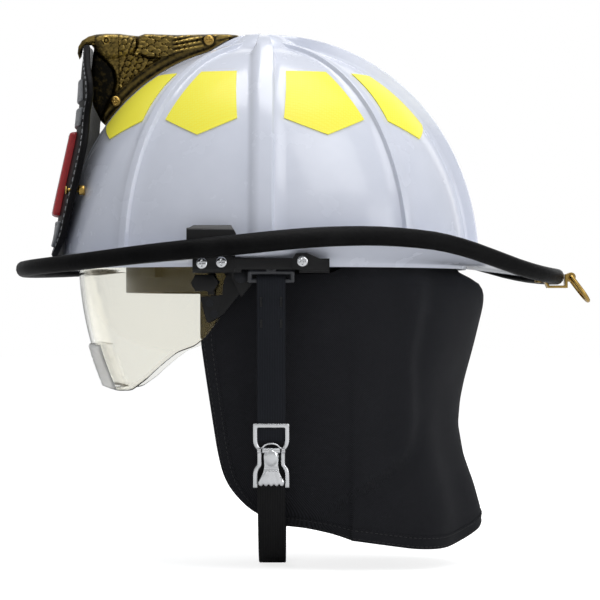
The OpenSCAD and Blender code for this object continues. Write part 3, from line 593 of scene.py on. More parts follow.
def ring_faces(rows: int, cols: int, wrap: bool, start: int = 0) -> Faces:
    """Returns the quads of a grid of points, its columns joined round if wrap."""
    last = cols if wrap else cols - 1
    return [(start + i * cols + j, start + i * cols + (j + 1) % cols,
             start + (i + 1) * cols + (j + 1) % cols, start + (i + 1) * cols + j)
            for i in range(rows - 1) for j in range(last)]


def thick(front: Sequence[Sequence[Point]], back: Sequence[Sequence[Point]]) -> Form:
    """Joins two grids of points into a closed sheet.

    Args:
        front: Rows of points of one face.
        back: Rows of points of the other face.

    Returns:
        The points and faces of the closed sheet.
    """
    rows, cols = len(front), len(front[0])
    size = rows * cols
    points = [p for row in front for p in row] + [p for row in back for p in row]
    faces = ring_faces(rows, cols, False)
    faces += [tuple(size + i for i in reversed(f)) for f in faces]
    for j in range(cols - 1):
        for i in (0, rows - 1):
            a, b = i * cols + j, i * cols + j + 1
            faces.append((a, size + a, size + b, b) if i == 0 else (a, b, size + b, size + a))
    for i in range(rows - 1):
        for j in (0, cols - 1):
            a, b = i * cols + j, (i + 1) * cols + j
            faces.append((a, b, size + b, size + a) if j == 0 else (a, size + a, size + b, b))
    return points, faces


def capped(rings: Sequence[Sequence[Point]], low: Point, high: Point) -> Form:
    """Joins rings of points into a skin that a point closes at each end.

    Args:
        rings: The rings, each of the same number of points.
        low: The point that closes the first ring.
        high: The point that closes the last.

    Returns:
        The points and faces.
    """
    cols = len(rings[0])
    points = [p for ring in rings for p in ring] + [low, high]
    end, top = len(points) - 1, (len(rings) - 1) * cols
    faces = ring_faces(len(rings), cols, True)
    faces += [(end - 1, (j + 1) % cols, j) for j in range(cols)]
    faces += [(end, top + j, top + (j + 1) % cols) for j in range(cols)]
    return points, faces


def tube(path: Sequence[Point], radius: float, sides: int = 12, closed: bool = False) -> Form:
    """Sweeps a round section along a path.

    Args:
        path: Points of the middle line.
        radius: Radius of the section.
        sides: Points round the section.
        closed: Whether the path's ends meet.

    Returns:
        The points and faces of the tube.
    """
    count = len(path)
    points: list[Point] = []
    up = Vector((0.13, 0.21, 0.97))
    for i, here in enumerate(path):
        before = path[(i - 1) % count] if closed or i > 0 else here
        after = path[(i + 1) % count] if closed or i < count - 1 else here
        along = (Vector(after) - Vector(before)).normalized()
        up = (up - along * up.dot(along)).normalized()
        across = along.cross(up)
        for k in range(sides):
            turn = 2 * math.pi * k / sides
            spot = Vector(here) + radius * (math.cos(turn) * up + math.sin(turn) * across)
            points.append(tuple(spot))
    faces = ring_faces(count, sides, True)
    if closed:
        last = (count - 1) * sides
        best = min(range(sides), key=lambda k: (Vector(points[last]) - Vector(points[k])).length)
        faces += [(last + k, last + (k + 1) % sides, (best + k + 1) % sides, (best + k) % sides)
                  for k in range(sides)]
    else:
        faces += [tuple(range(sides)), tuple((count - 1) * sides + k for k in range(sides))]
    return points, faces


def join(parts: Sequence[tuple[Sequence[Point], Sequence[Sequence[int]]]]) -> Form:
    """Returns the points and faces of several meshes as one."""
    points: list[Point] = []
    faces: Faces = []
    for some, made in parts:
        start = len(points)
        points.extend(some)
        faces.extend(tuple(start + i for i in f) for f in made)
    return points, faces


def softened(node: str, edge: float) -> bpy.types.Object:
    """Makes a copy of a hard CAD node with its sharp edges rounded, which stands for it.

    Args:
        node: The node's name.
        edge: How far the rounding reaches in from an edge, in millimetres.

    Returns:
        The new object.
    """
    source = frame["nodes"][node]
    mesh = source.data.copy()
    mesh.name = f"{node}_soft"
    mesh.transform(source.matrix_world)
    mesh.materials.clear()
    work = bmesh.new()
    work.from_mesh(mesh)
    bmesh.ops.remove_doubles(work, verts=work.verts, dist=WELD * MM)
    bmesh.ops.dissolve_limit(work, angle_limit=math.radians(FLAT_TURN), verts=work.verts,
                             edges=work.edges)
    sharp = [e for e in work.edges
             if len(e.link_faces) == 2 and e.calc_face_angle(0) > math.radians(SHARP_TURN)]
    bmesh.ops.bevel(work, geom=sharp, offset=edge * MM, segments=2, profile=0.6, affect="EDGES",
                    clamp_overlap=True)
    bmesh.ops.recalc_face_normals(work, faces=work.faces)
    work.to_mesh(mesh)
    work.free()
    row = next(r for r in frame["record"]["subparts"] if r["node"] == node)
    finish = FINISHES[row["material_slot"]]
    bodies = frame["record"]["behaviour"]["bodies"]
    body = next(name for name, held in bodies.items() if node in held)
    obj = placed(mesh.name, mesh, BRASS if finish is ANTIQUE_BRASS else finish, body)
    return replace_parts(obj, node)


def dress(node: str, finish: Finish | LensFinish) -> None:
    """Gives a CAD node its finish."""
    obj = frame["nodes"][node]
    for i in range(max(1, len(obj.material_slots))):
        if obj.material_slots:
            obj.material_slots[i].material = finish.build()
        else:
            obj.data.materials.append(finish.build())


# ---- The shell's curves ----


@dataclass(frozen=True)
class Curves:
    """The curves of the dome and the brim, in millimetres.

    They are the CAD's, but for the side ribs: these have one soft and one sharp flank, and rise
    to the comb's height near the crown.
    """

    height: float = 156
    front: float = 138
    rear: float = 143
    side: float = 113
    power: float = 2.1
    wall: float = 3
    comb: float = 9
    brim_front: float = 168
    brim_rear: float = 208
    brim_side: float = 134
    brim_root: float = 2.6
    ribs: tuple[tuple[float, float, float, float], ...] = (
        (0, 14, 9, 20), (40, 4, 3, 8), (90, 10, 4, 14), (136.5, 4, 3, 8),
        (180, 14, 9, 20), (223.5, 4, 3, 8), (270, 10, 4, 14), (320, 4, 3, 8))
    edge_heights: Table = (
        (-174, -0.6), (-135, 2.2), (-106, 5.1), (-72, 9), (-37, 12.4), (-1, 16.2), (27, 19.6),
        (59, 21.4), (79, 21.4), (95, 20.9), (129, 16.9), (168, 3.3), (190, -3.9), (214, -5.6))

    @staticmethod
    def plan(turn: float, front: float, rear: float, side: float, power: float) -> float:
        """Returns the distance from the head centre to a superellipse at an angle in degrees."""
        c, s = math.cos(math.radians(turn)), math.sin(math.radians(turn))
        reach = front if c < 0 else rear
        return ((abs(c) / reach) ** power + (abs(s) / side) ** power) ** (-1 / power)

    def dome(self, turn: float, lift: float, off: float) -> Point:
        """Finds a point of the dome.

        Args:
            turn: Plan angle in degrees, from the rear.
            lift: Height angle in degrees, from the rim.
            off: Distance outwards from the dome.

        Returns:
            The point.
        """
        t, p = math.radians(turn), math.radians(lift)
        r = self.plan(turn, self.front, self.rear, self.side, self.power)
        r *= math.cos(p) ** (2 / self.power)
        x, y = r * math.cos(t), r * math.sin(t)
        z = self.height * math.sin(p) ** (2 / self.power)
        ax = self.front if math.cos(t) < 0 else self.rear
        out = Vector((x / ax ** 2, y / self.side ** 2, z / self.height ** 2)).normalized()
        return (x + off * out.x, y + off * out.y, z + off * out.z)

    def half_angle(self, k: int, lift: float) -> float:
        """Returns half of the angle that rib k covers at a height angle, in degrees."""
        turn, width, _, most = self.ribs[k]
        r = self.plan(turn, self.front, self.rear, self.side, self.power)
        r *= math.cos(math.radians(lift)) ** (2 / self.power)
        return min(most, math.degrees(math.asin(min(1.0, width / max(1.0, r)))))

    def rib_rise(self, k: int, u: float, lift: float) -> float:
        """Finds how far the shell rises over the dome on a rib.

        Args:
            k: The rib's number.
            u: Place across the rib, from -1 to 1.
            lift: Height angle in degrees.

        Returns:
            The rise, with that of the crown where the ribs meet.
        """
        crown = self.comb * smooth((lift - 72) / 15) if k == 4 else self.crown(lift)
        fade = mix(0.1, 1, smooth((lift - 79) / 6)) if k == 4 else 1.0
        shape = smooth((1 - abs(u)) / 0.36) * (0.92 + 0.08 * (1 - u * u))
        rise = self.ribs[k][2]
        if k in (2, 6):
            back = u if k == 6 else -u
            shape = smooth((0.84 + back) / 0.62) * smooth((1 - back) / 0.22)
            rise = mix(rise, self.comb, smooth((lift - 62) / 18))
        return max(crown, rise * shape * fade)

    def crown(self, lift: float) -> float:
        """Returns how far the crown, where the ribs meet, rises over the dome between them."""
        return self.comb * smooth((lift - 78) / 9)

    def column(self, k: int, u: float, between: float, lift: float) -> Pair:
        """Finds the plan angle and the rise of a column of the shell.

        Args:
            k: The rib's number.
            u: Place across the rib, from -1 to 1.
            between: Place between this rib and the next, from 0, or less than 0 on the rib.
            lift: Height angle in degrees.

        Returns:
            The plan angle in degrees and the rise.
        """
        if between < 0:
            return self.ribs[k][0] + u * self.half_angle(k, lift), self.rib_rise(k, u, lift)
        m = (k + 1) % 8
        start = self.ribs[k][0] + self.half_angle(k, lift)
        end = self.ribs[m][0] + (360 if m == 0 else 0) - self.half_angle(m, lift)
        return mix(start, end, between), self.crown(lift)

    def edge(self, turn: float) -> Point:
        """Returns the point of the brim's edge at a plan angle."""
        t = math.radians(turn)
        r = self.plan(turn, self.brim_front, self.brim_rear, self.brim_side,
                      2.2 if math.cos(t) < 0 else 1.8)
        x, y = r * math.cos(t), r * math.sin(t)
        return (x, y, sum(look(x + d, self.edge_heights) for d in (-12, 0, 12)) / 3)

    def brim(self, turn: float, share: float) -> Point:
        """Returns a point of the brim's middle surface, from its root to its edge."""
        x, y, _ = self.dome(turn, 0, 0)
        ex, ey, ez = self.edge(turn)
        root = self.brim_root + self.wall / 2
        return (mix(x, ex, share), mix(y, ey, share), mix(root, ez, share))


CURVES = Curves()


@dataclass
class Shell:
    """The white moulding with its ribs, its brim and the black edge roll."""

    curves: Curves = CURVES
    rib_places: tuple[float, ...] = (
        -1, -0.95, -0.87, -0.78, -0.68, -0.58, -0.3, 0, 0.3, 0.58, 0.68, 0.78, 0.87, 0.95, 1)
    across_panel: int = 9
    roll_side: float = 7.2
    roll_tip: float = 5.4
    columns: list[tuple[int, float, float]] = field(default_factory=list)

    def __post_init__(self) -> None:
        """Lays out the columns round the shell."""
        for k in range(8):
            for u in self.rib_places:
                self.columns.append((k, u, -1.0))
            for j in range(1, self.across_panel):
                self.columns.append((k, 0.0, j / self.across_panel))

    def ring(self, lift: float, off: float) -> list[Point]:
        """Returns a ring of points round the shell at one height angle."""
        ring = []
        for k, u, between in self.columns:
            turn, rise = self.curves.column(k, u, between, lift)
            ring.append(self.curves.dome(turn, lift, (rise if lift > 0 else 0) + off))
        return ring

    def flange(self, share: float, off: float) -> list[Point]:
        """Returns a ring of points round the brim, off above its middle surface."""
        ring = []
        for k, u, between in self.columns:
            turn, _ = self.curves.column(k, u, between, 0)
            x, y, z = self.curves.brim(turn, share)
            ring.append((x, y, z + off))
        return ring

    def moulding(self) -> bpy.types.Object:
        """Builds the dome, ribs and brim as one skin."""
        c = self.curves
        lifts = [3.6, 5, 7, 9.5, 12.5, 16, 20, 24, 28, 32, 36, 40, 44, 48, 52, 56, 60, 64, 67.5,
                 70.5, 73, 75.5, 78, 80, 82, 84, 85.6, 87, 88.2, 89.2]
        rings = [self.ring(a, -c.wall) for a in reversed(lifts[2:])]
        rings += [self.ring(0, -c.wall), self.ring(0, -c.wall + 0.6), self.ring(0, -0.4)]
        rings += [self.flange(0.004, -c.wall / 2 - 0.6), self.flange(0.03, -c.wall / 2)]
        rings += [self.flange(s, -c.wall / 2) for s in (0.2, 0.4, 0.6, 0.8, 0.93)]
        rings += [self.flange(1.0, -c.wall / 2), self.flange(1.0, c.wall / 2)]
        rings += [self.flange(s, c.wall / 2) for s in (0.93, 0.8, 0.62, 0.44, 0.28)]
        rings += [[tuple(mix(p[i], q[i], t) for i in range(3))
                   for p, q in zip(self.flange(0.2, c.wall / 2 + 0.6), self.ring(3.6, 0.5))]
                  for t in (0.0, 0.3, 0.6)]
        rings += [self.ring(a, 0) for a in lifts]
        peak = c.height + c.comb
        skin = capped(rings, (0, 0, peak - c.wall), (0, 0, peak))
        obj = piece("shell_moulding", *skin, SHELL_WHITE, "helmet")
        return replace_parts(obj, "shell")

    def edge_roll(self) -> bpy.types.Object:
        """Builds the grained roll round the brim's edge, with its folded lips."""
        section = [(-6, 0.42), (-6.2, 0.62), (-5.6, 0.8), (-4, 0.93), (-2, 1.0), (0, 0.96),
                   (1.6, 0.78), (2.8, 0.45)]
        section += [(3.3, 0.0)] + [(d, -h) for d, h in reversed(section)]
        rings = []
        for k, u, between in self.columns:
            turn, _ = self.curves.column(k, u, between, 0)
            e, near = Vector(self.curves.brim(turn, 1.0)), Vector(self.curves.brim(turn, 0.8))
            out = (e - near).normalized()
            side = Vector((-math.sin(math.radians(turn)), math.cos(math.radians(turn)), 0))
            up = -out.cross(side).normalized()
            half = mix(self.roll_tip, self.roll_side, smooth(1 - abs(e.x - 20) / 190))
            rings.append([tuple(e + out * d + up * (half * h)) for d, h in section])
        cols = len(section)
        points = [p for ring in rings for p in ring]
        faces = ring_faces(len(rings), cols, True)
        last = (len(rings) - 1) * cols
        faces += [(last + j, last + (j + 1) % cols, (j + 1) % cols, j) for j in range(cols)]
        obj = piece("edge_roll", points, faces, TRIM_BLACK, "helmet")
        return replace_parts(obj, "brim_roll")

    def build(self) -> None:
        """Builds the shell's pieces."""
        self.moulding()
        self.edge_roll()


@dataclass
class ReflectivePanels:
    """The lime film panels between the ribs."""

    curves: Curves = CURVES
    low: float = 38.7
    point: float = 33.5
    high: float = 58.2
    film: float = 0.4
    steps: int = 14

    def spot(self, k: int, u: float, v: float, off: float) -> Point:
        """Finds a point of one panel.

        Args:
            k: The rib before the panel.
            u: Place across the panel, from 0 to 1.
            v: Place up the panel, from 0 to 1.
            off: Height over the shell.

        Returns:
            The point.
        """
        m = (k + 1) % 8
        lift = mix(mix(self.low, self.point, 1 - abs(2 * u - 1)), self.high, v)
        margin = mix(0.09, 0.17, v)
        start = self.curves.ribs[k][0] + self.curves.half_angle(k, lift)
        end = self.curves.ribs[m][0] + (360 if m == 0 else 0) - self.curves.half_angle(m, lift)
        return self.curves.dome(mix(start, end, mix(margin, 1 - margin, u)), lift, off)

    def build(self) -> None:
        """Builds all the panels as one piece."""
        n = self.steps
        parts = []
        for k in range(8):
            front = [[self.spot(k, u / n, v / n, self.film + 0.3) for u in range(n + 1)]
                     for v in range(n + 1)]
            back = [[self.spot(k, u / n, v / n, 0.25) for u in range(n + 1)] for v in range(n + 1)]
            parts.append(thick(front, back))
        obj = piece("film_panels", *join(parts), LIME_FILM, "helmet")
        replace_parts(obj, "reflective_panels")


# ---- Castings and stitches ----


def edge_distance(x: float, z: float, line: Sequence[Pair], closed: bool) -> float:
    """Finds the distance from a point to a line.

    Args:
        x: The point's first coordinate.
        z: Its second coordinate.
        line: The line's points.
        closed: Whether the line's ends meet.

    Returns:
        The shortest distance.
    """
    best = 1e9
    ends = list(zip(line, line[1:])) + ([(line[-1], line[0])] if closed else [])
    for (ax, az), (bx, bz) in ends:
        dx, dz = bx - ax, bz - az
        t = max(0.0, min(1.0, ((x - ax) * dx + (z - az) * dz) / max(1e-9, dx * dx + dz * dz)))
        best = min(best, (x - ax - t * dx) ** 2 + (z - az - t * dz) ** 2)
    return math.sqrt(best)


def within(x: float, z: float, line: Sequence[Pair]) -> bool:
    """Returns whether a point lies inside a closed line."""
    hit = False
    for (ax, az), (bx, bz) in zip(line, [*line[1:], line[0]]):
        if (az > z) != (bz > z) and x < (bx - ax) * (z - az) / (bz - az) + ax:
            hit = not hit
    return hit


def resample(line: Sequence[Pair], step: float) -> list[Pair]:
    """Returns a closed line with points about a step apart."""
    out = []
    for (ax, az), (bx, bz) in zip(line, [*line[1:], line[0]]):
        count = max(1, round(math.hypot(bx - ax, bz - az) / step))
        out += [(mix(ax, bx, i / count), mix(az, bz, i / count)) for i in range(count)]
    return out


@dataclass
class Casting:
    """A flat outline filled with fine triangles, whose two faces carry relief.

    Attributes:
        outline: The closed outline in the casting's own plane.
        pitch: Spacing of the points.
    """

    outline: list[Pair]
    pitch: float

    def fill(self) -> tuple[list[Pair], Faces, list[int]]:
        """Returns the flat points, the triangles and the outline's point numbers in order."""
        rim = resample(self.outline, self.pitch)
        xs, zs = [p[0] for p in rim], [p[1] for p in rim]
        inner = []
        rows = int((max(zs) - min(zs)) / (self.pitch * 0.87)) + 1
        cols = int((max(xs) - min(xs)) / self.pitch) + 1
        for i in range(rows):
            for j in range(cols):
                x = min(xs) + (j + 0.5 * (i % 2)) * self.pitch
                z = min(zs) + i * self.pitch * 0.87
                if within(x, z, rim) and edge_distance(x, z, rim, True) > 0.55 * self.pitch:
                    inner.append((x, z))
        count = len(rim)
        flat = [Vector(p) for p in rim + inner]
        edges = [(i, (i + 1) % count) for i in range(count)]
        made, _, faces, origin, _, _ = geometry.delaunay_2d_cdt(flat, edges, [], 1, 1e-6)
        place = {source[0]: i for i, source in enumerate(origin) if source}
        return [tuple(p) for p in made], [tuple(f) for f in faces], [place[i] for i in range(count)]

    def build(self, height: Callable[[float, float], tuple[float, float, float]],
              at: Callable[[float, float, float], Point]) -> tuple[list[Point], Faces, list[float]]:
        """Raises both faces.

        Args:
            height: Gives the near and far heights and the relief's tone at a flat point.
            at: Places a flat point and a height in the helmet.

        Returns:
            The points, the faces and each point's tone.
        """
        flat, faces, rim = self.fill()
        rows = [height(x, z) for x, z in flat]
        size = len(flat)
        points = [at(x, z, h[0]) for (x, z), h in zip(flat, rows)]
        points += [at(x, z, h[1]) for (x, z), h in zip(flat, rows)]
        out = list(faces) + [tuple(size + i for i in reversed(f)) for f in faces]
        out += [(a, b, size + b, size + a) for a, b in zip(rim, [*rim[1:], rim[0]])]
        tone = [h[2] for h in rows]
        return points, out, tone + tone


def rounded(corners: Sequence[tuple[float, float, float]]) -> list[Pair]:
    """Rounds the corners of a closed outline.

    Args:
        corners: Each corner's two places, and how far from it its curve starts.

    Returns:
        The outline's points in order.
    """
    line = []
    for i, (x, z, cut) in enumerate(corners):
        here = Vector((x, z))
        legs = [Vector(corners[(i + step) % len(corners)][:2]) - here for step in (-1, 1)]
        first, last = (here + leg.normalized() * min(cut, leg.length * 0.48) for leg in legs)
        line += [tuple(first * (1 - t) ** 2 + here * (2 * t * (1 - t)) + last * t ** 2)
                 for t in (0, 0.25, 0.5, 0.75, 1)]
    return line


def screw_head(x: float, z: float, seat: float, radius: float, rise: float) -> Form:
    """Makes a domed cross-recessed screw head that faces out to one side.

    Args:
        x: Its centre along the helmet.
        z: Its centre's height.
        seat: Y of its underside.
        radius: Its radius.
        rise: Its height.

    Returns:
        The points and faces.
    """
    rim = [polar(radius, a) for a in range(0, 360, 10)]

    def height(u: float, v: float) -> tuple[float, float, float]:
        """Returns the head's outer and inner heights."""
        away = min(1.0, math.hypot(u, v) / radius)
        top = rise * (0.3 + 0.7 * math.sqrt(1 - (away * 0.98) ** 2))
        slot = 1 - smooth((min(abs(u), abs(v)) - 0.1 * radius) / 0.25)
        cut = slot * (1 - smooth((away - 0.55) / 0.08))
        return top - 0.6 * cut, 0.0, 0.0

    sign = 1 if seat > 0 else -1
    points, faces, _ = Casting(rim, radius / 11).build(
        height, lambda u, v, h: (x + u, seat + sign * h, z + v))
    return points, faces


def stitches(path: Sequence[Point], length: float, space: float, radius: float) -> Form:
    """Lays short stitches of thread along a path.

    Args:
        path: The seam's points, close together.
        length: Length of a stitch.
        space: Distance from the start of one stitch to the next.
        radius: Radius of the thread.

    Returns:
        The points and faces of all the stitches.
    """
    parts = []
    walked, begin = 0.0, 0.0
    part: list[Point] = [path[0]]
    for a, b in zip(path, path[1:]):
        walked += (Vector(b) - Vector(a)).length
        if walked - begin < length:
            part.append(b)
        elif part:
            if len(part) > 1:
                parts.append(tube(part, radius, 6))
            part = []
        if walked - begin >= space:
            begin, part = walked, [b]
    return join(parts)


# ---- The front ----


@dataclass
class EagleHolder:
    """The cast eagle that holds the front piece: a generic bird with plain rows of feathers."""

    curves: Curves = CURVES
    foot: float = 8
    foot_height: float = 9
    neck: float = 4.6
    wing: float = 10.2
    pitch: float = 0.8
    crown: Table = (
        (-15, 163), (-17, 164.2), (-24, 164.9), (-34, 165), (-60, 164.3), (-76, 164.9), (-82, 165),
        (-86, 163.6), (-92, 164.2), (-100, 165.2), (-109, 165.3), (-116, 164.8), (-121.5, 163.4),
        (-126, 160.6), (-128.6, 156.4), (-129.2, 151.6), (-127.8, 147.4), (-126.4, 149.6),
        (-125.6, 154), (-123.6, 157), (-119.6, 157.6), (-117.6, 155.2), (-118.4, 150),
        (-119.6, 140), (-119.6, 126), (-118.2, 115), (-112.6, 104))
    neck_front: Table = (
        (104, -112), (111.6, -110), (118, -107), (124.6, -103.6), (132, -102), (139.8, -103.8),
        (145.4, -108), (150.6, -114.6), (155.2, -118))
    wing_low: Table = (
        (-88, 151), (-80, 147.6), (-70, 147), (-60, 149.4), (-50, 152.6), (-36, 156), (-22, 160))
    eye: Pair = (-108.5, 160)
    screws: Table = ((-37, 160.2), (-102.2, 117.6))

    def comb_line(self) -> list[Pair]:
        """Returns the line along the dome that the foot lies on, from the front up."""
        line = []
        for i in range(43):
            lift = 39 + i
            x, _, z = self.curves.dome(180, lift, self.curves.rib_rise(4, 0, lift) + 0.3)
            line.append((x, min(z, 164)))
        return line

    def scales(self, x: float, z: float, pitch: float) -> float:
        """Finds the height of rows of overlapping feathers that point backwards.

        Args:
            x: Place along the rows.
            z: Place across them.
            pitch: Distance between the rows.

        Returns:
            The height, from 0 in the gaps to 1 at the tips.
        """
        row = math.floor(x / pitch)
        for k in (row - 1, row):
            shift = 0.5 * (k % 2)
            across = z / (pitch * 1.05) - shift
            dv = 2 * (across - round(across))
            du = (x - k * pitch) / (1.9 * pitch)
            inside = 1 - (max(0.0, du - 0.42) / 0.58) ** 2 - dv * dv
            if inside > 0:
                break
        shaft = 0.16 * math.exp(-(dv / 0.16) ** 2)
        return (0.3 + 0.7 * du - 0.2 * dv * dv - shaft) * smooth(max(0.05, inside) / 0.3)

    def height(self, line: list[Pair], rim: list[Pair]
               ) -> Callable[[float, float], tuple[float, float, float]]:
        """Makes the relief's height function.

        Args:
            line: The foot's line on the dome.
            rim: The whole outline.

        Returns:
            A function of a flat point that gives both heights and the tone.
        """

        def at(x: float, z: float) -> tuple[float, float, float]:
            """Returns both heights and the tone at a flat point."""
            near = edge_distance(x, z, line, False)
            edge = edge_distance(x, z, rim, True)
            h, tone = self.neck, 0.25
            head = 1 - ((x + 106) / 19) ** 2 - ((z - 157) / 9.5) ** 2
            if head > 0:
                h = self.neck + 3.6 * math.sqrt(head)
            wing = smooth((z - look(x, self.wing_low)) / 1.6) * smooth((x + 88) / 3)
            wing *= smooth((-19 - x) / 5)
            if wing > 0:
                full = mix(self.wing, 7.4, smooth((x + 62) / 26))
                vane = 0.5 + 0.5 * math.cos((z - 147 - 0.2 * (x + 88)) * 2 * math.pi / 3.1)
                barb = 0.5 + 0.5 * math.cos((x + 1.4 * z) * 2 * math.pi / 1.9)
                shoulder = smooth((-60 - x) / 5)
                plume = max(vane * (1 - shoulder), self.scales(x, z, 4.6) * shoulder)
                h = mix(h, full - 1.7 + 1.5 * plume + 0.16 * barb, wing)
                tone = mix(tone, 0.15 + 0.85 * plume, wing)
            elif near > self.foot_height - 0.5 and x > -100:
                tuft = self.scales(x * 0.75 + z * 0.66, z * 0.75 - x * 0.66, 4.0)
                h += 0.2 + 1.7 * tuft
                tone = 0.15 + 0.8 * tuft
            elif head > 0 or x <= -100:
                tuft = self.scales(x * 0.9 + z * 0.43, z * 0.9 - x * 0.43, 3.3)
                tuft *= smooth((x + 116) / 6)
                h += 0.55 * tuft
                tone = 0.3 + 0.55 * tuft
            bead = edge_distance(x, z, [(-80.5, 164), (-87.5, 150.5)], False)
            if bead < 1.6:
                along = (z - 150.5) * 2 * math.pi / 2.7
                dome = math.sqrt(max(0.0, 1 - (bead / 1.6) ** 2))
                h = max(h, 8.7 + 1.1 * dome * (0.62 + 0.38 * math.cos(along)))
                tone = 0.45 + 0.5 * (0.5 + 0.5 * math.cos(along))
            look_at = math.hypot(x - self.eye[0], z - self.eye[1])
            if look_at < 3.2:
                lid = 0.9 * math.exp(-((look_at - 2.3) / 0.55) ** 2)
                h += lid + (0.9 if look_at < 1.3 else -0.3)
                tone = 0.95 if 1.7 < look_at < 2.9 or look_at < 1.0 else 0.05
            brow = edge_distance(x, z, [(-104, 163.3), (-109, 163.4), (-114, 161.4)], False)
            if brow < 1.5:
                h += 1.0 * (1 - (brow / 1.5) ** 2)
                tone = max(tone, 0.9)
            if x < -116.5:
                gape = 0.8 if abs(z - 158.4) < 0.5 and x > -123 else 0
                h = mix(5.6, 2.5, smooth((-116.5 - x) / 9)) - gape
                tone = 0.75 if h > 2.9 else 0.5
            if near < self.foot_height:
                wall = smooth((self.foot_height - near) / 1.2)
                band = 0.6 * (0.5 + 0.5 * math.cos((near - 4.4) * 2 * math.pi / 4.4))
                if near < self.foot_height - 0.3:
                    h = max(h, mix(h, self.foot - 0.6 + band, wall))
                tone = max(tone if wing > 0 else 0, 0.2 + 0.6 * band)
            for sx, sz in self.screws:
                away = math.hypot(x - sx, z - sz)
                if away < 5.4:
                    h, tone = mix(min(h, 7.9), h, smooth((away - 4.2) / 1.2)), 0.3
            # The thin web in front of the neck takes the darkest tone: the casting's dark patina,
            # deepened as painted shade in the notch between the neck and the front piece.
            if 104 < z < 155.2:
                web = smooth((look(z, self.neck_front) - x + 1.4) / 2.6)
                h, tone = mix(h, 1.9, web), mix(tone, 0.04, web)
            crest = domed(edge / 3.0) if near > 2 else 0.75
            h *= 0.42 + 0.58 * crest
            return -h, h, min(1.0, tone ** 1.8 + 0.22 * (1 - min(1.0, edge / 1.4)))

        return at

    def build(self) -> None:
        """Builds the holder, which stands for the CAD's."""
        line = self.comb_line()
        rim = list(self.crown) + line
        points, faces, tone = Casting(rim, self.pitch).build(
            self.height(line, rim), lambda x, z, h: (x, h, z))
        obj = piece("eagle_holder", points, faces, ANTIQUE_BRASS, "helmet", tone)
        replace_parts(obj, "front_holder")
        heads = [screw_head(x, z, side.value * (self.foot + 0.15), 3.6, 1.9)
                 for x, z in self.screws for side in Side]
        screws = piece("holder_screw_heads", *join(heads), BRASS, "helmet")
        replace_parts(screws, "holder_screws")


